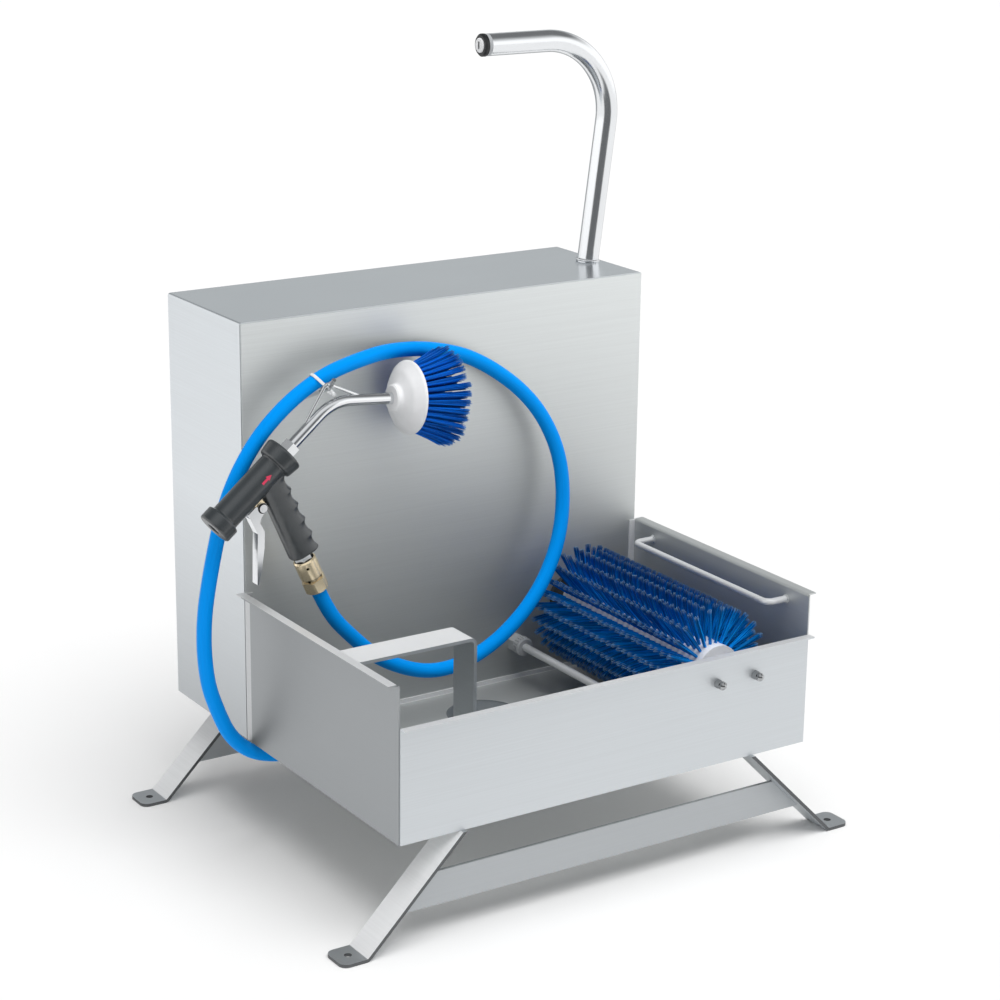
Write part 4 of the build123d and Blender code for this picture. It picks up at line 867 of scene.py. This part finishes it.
class WASHER_OT_gun_cover(bpy.types.Operator):
    """Make the moulded rubber cover of the wash gun, its flow arrow and a dark ring round the lever's pin, a
    painted shadow of the gap there
    """

    bl_idname = "washer.gun_cover"
    bl_label = "Gun cover"

    # Barrel in metres: radius of its middle, and corners as distance along, radius and rounding
    WAIST = 0.0206
    OUTLINE = [
        (-0.0975, 0.0, 0.0),
        (-0.0975, 0.0092, 0.0010),
        (-0.1077, 0.0098, 0.0012),
        (-0.1077, 0.0260, 0.0036),
        (-0.0875, 0.0260, 0.0016),
        (-0.0860, WAIST, 0.0014),
        (0.0165, WAIST, 0.0014),
        (0.0180, 0.0262, 0.0022),
        (0.0405, 0.0293, 0.0045),
        (0.0405, 0.0135, 0.0012),
        (0.0385, 0.0, 0.0),
    ]

    # Grip, lengths in metres: its body, finger grooves, flare at the barrel and rounded end
    GRIP_LENGTH = 0.140
    GRIP_REAR = 0.019
    GRIP_FRONT = 0.028
    GRIP_THICKNESS = 0.033
    GRIP_PEAK = 0.038
    GRIP_LEAN = 0.0036
    GRIP_EXPONENT = 2.7
    FINGERS = 4
    FINGER_PITCH = 0.0254
    FINGER_DEPTH = 0.0048
    FLARE = 0.004
    FLARE_FADE = 0.012
    END_ROUND = 0.0022
    END_SHARE = 0.12

    # Skin over barrel and grip, and the dark ring of painted shadow round the pin, in metres
    VOXEL = 0.0008
    RING_DEPTH = 0.0026
    RING_BEAD = 0.0009

    # Flow arrow: upper half of its flat outline in metres, its scale, place along, turn in degrees, and lift
    ARROW = [(0.0075, 0.0), (0.0005, 0.0038), (0.0005, 0.0016), (-0.0085, 0.0016)]
    ARROW_SCALE = 1.15
    ARROW_PLACE = -0.0075
    ARROW_TURN = 80.0
    ARROW_LIFT = 0.00012

    def grip(self):
        """Grip: at distance s down its axis, the section is a superellipse with half widths a and b, where a
        runs from the straight rear to the scalloped front."""
        s = np.linspace(0.0, self.GRIP_LENGTH, 220)
        left = self.GRIP_LENGTH - s
        front = self.GRIP_FRONT - self.GRIP_LEAN * left / (self.GRIP_LENGTH - self.GRIP_PEAK)
        finger = (s - self.GRIP_PEAK) / self.FINGER_PITCH
        groove = self.FINGER_DEPTH * (1 - (2 * (finger % 1.0) ** 0.8 - 1) ** 2)
        front = front - np.where((finger > -1) & (finger < self.FINGERS), groove, 0.0)
        flare = self.FLARE * np.exp(-s / self.FLARE_FADE)
        half = (front + self.GRIP_REAR) / 2 + flare
        middle = (front - self.GRIP_REAR) / 2
        thick = self.GRIP_THICKNESS / 2 + 0.5 * flare
        close = np.sqrt(np.clip(left / self.END_ROUND, 0.0, 1.0)) * self.END_SHARE + 1 - self.END_SHARE
        section = squared_circle(72, 2 / self.GRIP_EXPONENT)
        sides = len(section)
        forward = middle[:, None] + (half * close)[:, None] * section[:, 0]
        across = (thick * close)[:, None] * section[:, 1]
        points = GUN + s[:, None, None] * GRIP + forward[..., None] * FORWARD + across[..., None] * FRONT
        faces = grid_faces(len(s), sides, wrap_columns=True)
        ends = [np.arange(sides).tolist(), ((len(s) - 1) * sides + np.arange(sides)).tolist()]
        return points, faces + ends

    def execute(self, context):
        work = bmesh.new()
        for points, faces in (turned(soft_profile(self.OUTLINE), GUN, BARREL, 120), self.grip()):
            half = close_seams(link_mesh("gun_half", points, faces))
            work.from_mesh(half.data)
            bpy.data.objects.remove(half)
        piece = link_mesh("gun_rubber", np.zeros((0, 3)), [])
        work.to_mesh(piece.data)
        work.free()
        remesh = piece.modifiers.new("skin", "REMESH")
        remesh.mode = "VOXEL"
        remesh.voxel_size = self.VOXEL
        smooth = piece.modifiers.new("soften", "SMOOTH")
        smooth.factor = 0.5
        smooth.iterations = 3
        context.view_layer.update()
        skin = bpy.data.meshes.new_from_object(piece.evaluated_get(context.evaluated_depsgraph_get()))
        piece.modifiers.clear()
        piece.data = skin
        piece.data.shade_smooth()
        colours = context.scene.washer_colours
        dress(piece, self.rubber(colours.rubber), "wash_gun", ("gun_cover",))
        self.arrow(colours.arrow)
        # Dark bead round the pin's head: a painted shadow of the gap round the pin.
        low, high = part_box("lever_pin")
        head = (high.x - low.x) / 2
        place = (PIVOT[0], low.y + self.RING_DEPTH, PIVOT[2])
        points, faces = bead_ring(place, (0, 1, 0), head + self.RING_BEAD, self.RING_BEAD, 0)
        ring = close_seams(link_mesh("pivot_ring", points, faces))
        dress(ring, moulded("pin_gap_painted_shadow", colours.black, 0.5), "gun_lever")
        return {"FINISHED"}

    def rubber(self, colour):
        """Satin rubber with a fine grain and the mould's parting line along its middle plane."""
        finish = Finish("gun_rubber", Specular_IOR_Level=1.0)
        fine = finish.noise((1100.0, 1100.0, 1100.0), 2.0)
        broad = finish.noise((30.0, 30.0, 30.0))
        off = finish.maths("ABSOLUTE", finish.maths("SUBTRACT", finish.depth(), float(GUN[1])))
        line = finish.span(off, 1.0, 0.0, 0.0002, 0.0006)
        height = finish.maths("ADD", finish.maths("MULTIPLY", fine, 0.12), line)
        finish.give("Base Color", finish.shade(colour, finish.vary(broad, 0.9, 1.1)))
        finish.give("Roughness", finish.vary(fine, 0.27, 0.35))
        finish.bump(height, 0.0003, 0.6)
        return finish.material

    def arrow(self, colour):
        """Flow arrow on the barrel: its flat outline (a, w) is wrapped as angle w / r about the axis."""
        upper = np.array(self.ARROW) * self.ARROW_SCALE
        outline = np.concatenate([upper[:0:-1] * [1, -1], upper])
        radius = self.WAIST + self.ARROW_LIFT
        turn = math.radians(self.ARROW_TURN) - outline[:, 1] / radius
        along = self.ARROW_PLACE + outline[:, 0]
        wrap = np.cos(turn)[:, None] * ABOVE + np.sin(turn)[:, None] * FRONT
        points = GUN + along[:, None] * BARREL + radius * wrap
        piece = link_mesh("flow_arrow", points, [list(range(len(outline)))])
        dress(piece, moulded("arrow_ink", colour, 0.5), "wash_gun")


class WASHER_OT_welds(bpy.types.Operator):
    """Make the weld beads of the handrail and the boot rail"""

    bl_idname = "washer.welds"
    bl_label = "Welds"

    # Sheet thickness of the housing's side, and a rail's bead as a share of a full one
    SHEET = 0.002
    RAIL_SHARE = 0.9

    # Handrail's foot on the housing's top: place, lean in degrees from upright, radius, and the bead's lift
    FOOT = (0.327, 0.226)
    LEAN = 7.5
    TUBE_RADIUS = 0.01685
    LIFT = 0.0012

    def execute(self, context):
        bead = context.scene.washer_sizes.weld / 2
        chrome = context.scene.washer_colours.chrome
        ripples = (420.0, 420.0, 420.0)
        finish = metal("weld_bead", chrome, 0.22, 0.18, ripples, (0.9, 1.04), bump=0.0002)
        low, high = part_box("boot_rail")
        rod = (high.z - low.z) / 2
        height = (low.z + high.z) / 2
        shell_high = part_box("housing_shell")[1]
        inner = shell_high.x - self.SHEET
        lean = direction(90 - self.LEAN)
        foot = np.array([*self.FOOT, shell_high.z]) + lean * self.LIFT
        rings = [
            bead_ring((inner, low.y + rod, height), (1, 0, 0), rod, bead * self.RAIL_SHARE),
            bead_ring((inner, high.y - rod, height), (1, 0, 0), rod, bead * self.RAIL_SHARE),
            bead_ring(foot, lean, self.TUBE_RADIUS, bead),
        ]
        for number, (points, faces) in enumerate(rings):
            piece = close_seams(link_mesh(f"weld_ring_{number}", points, faces), 60)
            dress(piece, finish, "washer")
        return {"FINISHED"}


class WASHER_OT_cable_tie(bpy.types.Operator):
    """Make the nylon tie that holds the hose to the hanger"""

    bl_idname = "washer.cable_tie"
    bl_label = "Cable tie"

    # Places and radii of hose and wire inside the tie, in metres, and the way through it, in degrees
    HOSE_PLACE = np.array([-0.2560, 0.0597, 0.7010])
    WIRE_PLACE = np.array([-0.2460, 0.0310, 0.6874])
    RADII = np.array([0.0122, 0.0038])
    LEAN = 36.4

    # Band in metres
    WIDTH = 0.0045
    THICKNESS = 0.0013

    def loop(self):
        """Tight loop round two rods: for each outward direction w, the point c + r w of the rod whose
        reach c . w + r is the larger. Returns the points and the way through the loop."""
        across = direction(self.LEAN)
        first = np.array([0.0, 1.0, 0.0])
        second = np.cross(across, first)
        centres = np.array([self.HOSE_PLACE, self.WIRE_PLACE])
        centres = centres - ((centres - self.HOSE_PLACE) @ across)[:, None] * across
        radii = self.RADII + self.THICKNESS / 2
        outward = spokes(first, second, 160)
        nearer = np.argmax(outward @ centres.T + radii, axis=1)
        return centres[nearer] + radii[nearer][:, None] * outward, across

    def execute(self, context):
        path, across = self.loop()
        section = squared_circle(16, 0.4) * [self.WIDTH / 2, self.THICKNESS / 2]
        points, faces = carried(path, section, across, closed=True)
        piece = close_seams(link_mesh("nylon_tie", points, faces))
        dress(piece, clear_nylon("tie_nylon"), "wash_gun", ("cable_tie",))
        return {"FINISHED"}


class WASHER_OT_button_mark(bpy.types.Operator):
    """Make the dark slot mark on the start button"""

    bl_idname = "washer.button_mark"
    bl_label = "Button mark"

    # Slot in metres: half its straight length, the radius of its ends, and its lift off the button
    STRAIGHT = 0.0042
    RADIUS = 0.0017
    LIFT = 0.00012

    def execute(self, context):
        low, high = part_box("start_button")
        sides = 48
        across, upward = circle(self.RADIUS, sides).T
        upward = upward + self.STRAIGHT * np.sign(upward)
        face = np.full(sides, low.x - self.LIFT)
        points = np.stack([face, (low.y + high.y) / 2 + across, (low.z + high.z) / 2 + upward], axis=-1)
        piece = link_mesh("button_slot", points, [list(range(sides))])
        black = moulded("mark_ink", context.scene.washer_colours.black, 0.5)
        dress(piece, black, "start_button")
        return {"FINISHED"}


class WASHER_OT_finishes(bpy.types.Operator):
    """Give the CAD nodes their finishes"""

    bl_idname = "washer.finishes"
    bl_label = "Finishes"

    LEGS = ("front_left_leg", "front_right_leg", "rear_left_leg", "rear_right_leg")

    # Sheet and bar nodes whose edges are rounded off, by a width in metres
    BENT = (
        "housing_shell",
        "housing_panel",
        "tray_front_wall",
        "tray_left_wall",
        "tray_right_wall",
        "footrest",
        *LEGS,
        "front_crossbar",
    )
    BEND = 0.0011

    # In metres: radius inside which the coupling is painted dark as painted shade of its bore, and the y behind
    # which the tray's walls get a painted highlight
    BORE = 0.0143
    SIDE_REAR = 0.1085
    LEFT_REAR = 0.096

    def by_slot(self, colours, steel):
        """Finish for each material slot of the record."""
        return {
            "stainless": steel,
            "polished_steel": metal("polished_fittings", colours.chrome, 0.11, 0.03),
            "white_plastic": moulded("white_plastic", colours.white, 0.34),
            "grey_plastic": moulded("grey_plastic", colours.grey, 0.42),
            "black_plastic": moulded("black_plastic", colours.black, 0.36),
            "black_rubber": moulded("seal_rubber", colours.rubber, 0.5),
            "brass": metal("plated_brass", colours.brass, 0.20, 0.04),
            "bronze": metal("bearing_bronze", linear(170, 132, 84), 0.3),
            "aluminium": metal("cast_alloy", linear(172, 174, 176), 0.42, 0.1),
            "painted_motor": moulded("motor_paint", linear(88, 94, 100), 0.4),
            "clear_nylon": clear_nylon("milky_nylon"),
        }

    def by_node(self, colours, sheet):
        """Finish for each node that has one of its own."""
        steel = colours.steel
        warm = tinted(steel, 1.01, 1.0, 0.965)
        # Right wall and tray floor: painted highlight, paler and less metallic behind SIDE_REAR.
        side = sheet_steel(
            "side_sheet", warm, metallic=0.6, tone_level=1.06, light=self.SIDE_REAR, painted_light_metallic=0.2
        )
        # Left wall: a darker copy of the steel as painted shade, with a painted highlight on its top flange and on
        # the strip behind LEFT_REAR.
        left = sheet_steel(
            "painted_shade_outer_sheet", steel, metallic=0.7, tone_level=0.62, light="top", rear=self.LEFT_REAR
        )
        bar = sheet_steel("brushed_bar", steel, metallic=0.6, tone_level=0.8)
        # Legs: painted highlight on faces that slope upwards, painted shade on upright faces.
        leg = sheet_steel("leg_bar", steel, light="slope", painted_light_metallic=0.1, painted_shade_edges=True)
        rail = metal("rail_bar", colours.chrome, 0.31, scale=(900.0, 20.0, 900.0), metallic=0.35)
        lance = metal("lance_tube", colours.chrome, 0.13, scale=(40.0, 300.0, 40.0))
        return {
            # Panel and shell: painted shade, darker towards the bottom.
            "housing_panel": sheet_steel("panel_sheet", warm, 0.54, 0.8, 1.45, painted_shade_below=0.785),
            "housing_shell": sheet_steel("shell_sheet", steel, painted_shade_below=0.5, **sheet),
            # Front wall: painted highlight on faces that look up.
            "tray_front_wall": sheet_steel("wall_sheet", steel, tone_level=1.12, light="top"),
            "tray_left_wall": left,
            "tray_right_wall": side,
            "tray_floor": side,
            # Footrest: painted highlight on faces that look up.
            "footrest": sheet_steel("footrest_bar", steel, tone_level=1.22, light="top", painted_light_metallic=0.2),
            "front_crossbar": bar,
            "rear_crossbar": bar,
            **dict.fromkeys(self.LEGS, leg),
            "handle_tube": metal("handrail_tube", colours.chrome, 0.15, scale=(20.0, 400.0, 20.0)),
            **dict.fromkeys(("boot_rail", "spray_pipe", "roller_shaft"), rail),
            **dict.fromkeys(("lance_tube", "hanger_wire", "hose_hook"), lance),
            "hose_coupling": metal("drilled_brass", colours.brass, 0.20, 0.04, metallic=0.8, bore=self.BORE),
            "bearing_cap_nuts": metal("cap_nuts", tinted(colours.chrome, 0.5, 0.5, 0.5), 0.12, 0.04),
        }

    def execute(self, context):
        colours = context.scene.washer_colours
        sheet = {"rough": 0.42, "metallic": 1.0, "tone_level": 1.22, "flat_grain": True, "top_rough": 0.24}
        by_slot = self.by_slot(colours, sheet_steel("brushed_sheet", colours.steel, **sheet))
        by_node = self.by_node(colours, sheet)
        for subpart in frame["record"]["subparts"]:
            node = subpart["node"]
            material = by_node.get(node) or by_slot.get(subpart["material_slot"])
            if material is None:
                continue
            mesh = frame["nodes"][node].data
            mesh.materials.clear()
            mesh.materials.append(material)
        for node in self.BENT:
            soften = frame["nodes"][node].modifiers.new("bend_edges", "BEVEL")
            soften.width = self.BEND
            soften.segments = 3
            soften.limit_method = "ANGLE"
            soften.angle_limit = math.radians(50)
            soften.harden_normals = True
        return {"FINISHED"}


class WASHER_PT_panel(bpy.types.Panel):
    """Sidebar list of the washer's pieces"""

    bl_label = "Boot washer"
    bl_idname = "WASHER_PT_panel"
    bl_space_type = "VIEW_3D"
    bl_region_type = "UI"
    bl_category = "Boot washer"

    def draw(self, context):
        for operator in OPERATORS:
            self.layout.operator(operator.bl_idname)


OPERATORS = (
    WASHER_OT_stage,
    WASHER_OT_finishes,
    WASHER_OT_hose,
    WASHER_OT_roller_brush,
    WASHER_OT_hand_brush,
    WASHER_OT_gun_cover,
    WASHER_OT_welds,
    WASHER_OT_cable_tie,
    WASHER_OT_button_mark,
)
CLASSES = (WasherSizes, WasherColours, *OPERATORS, WASHER_PT_panel)


def register():
    """Register the classes and hang the settings on the scene."""
    for entry in CLASSES:
        bpy.utils.register_class(entry)
    bpy.types.Scene.washer_sizes = PointerProperty(type=WasherSizes)
    bpy.types.Scene.washer_colours = PointerProperty(type=WasherColours)


def unregister():
    """Undo register."""
    del bpy.types.Scene.washer_colours
    del bpy.types.Scene.washer_sizes
    for entry in reversed(CLASSES):
        bpy.utils.unregister_class(entry)


def main():
    """Make every piece."""
    register()
    for operator in OPERATORS:
        getattr(bpy.ops.washer, operator.bl_idname.removeprefix("washer."))()


if __name__ == "__main__":
    main()
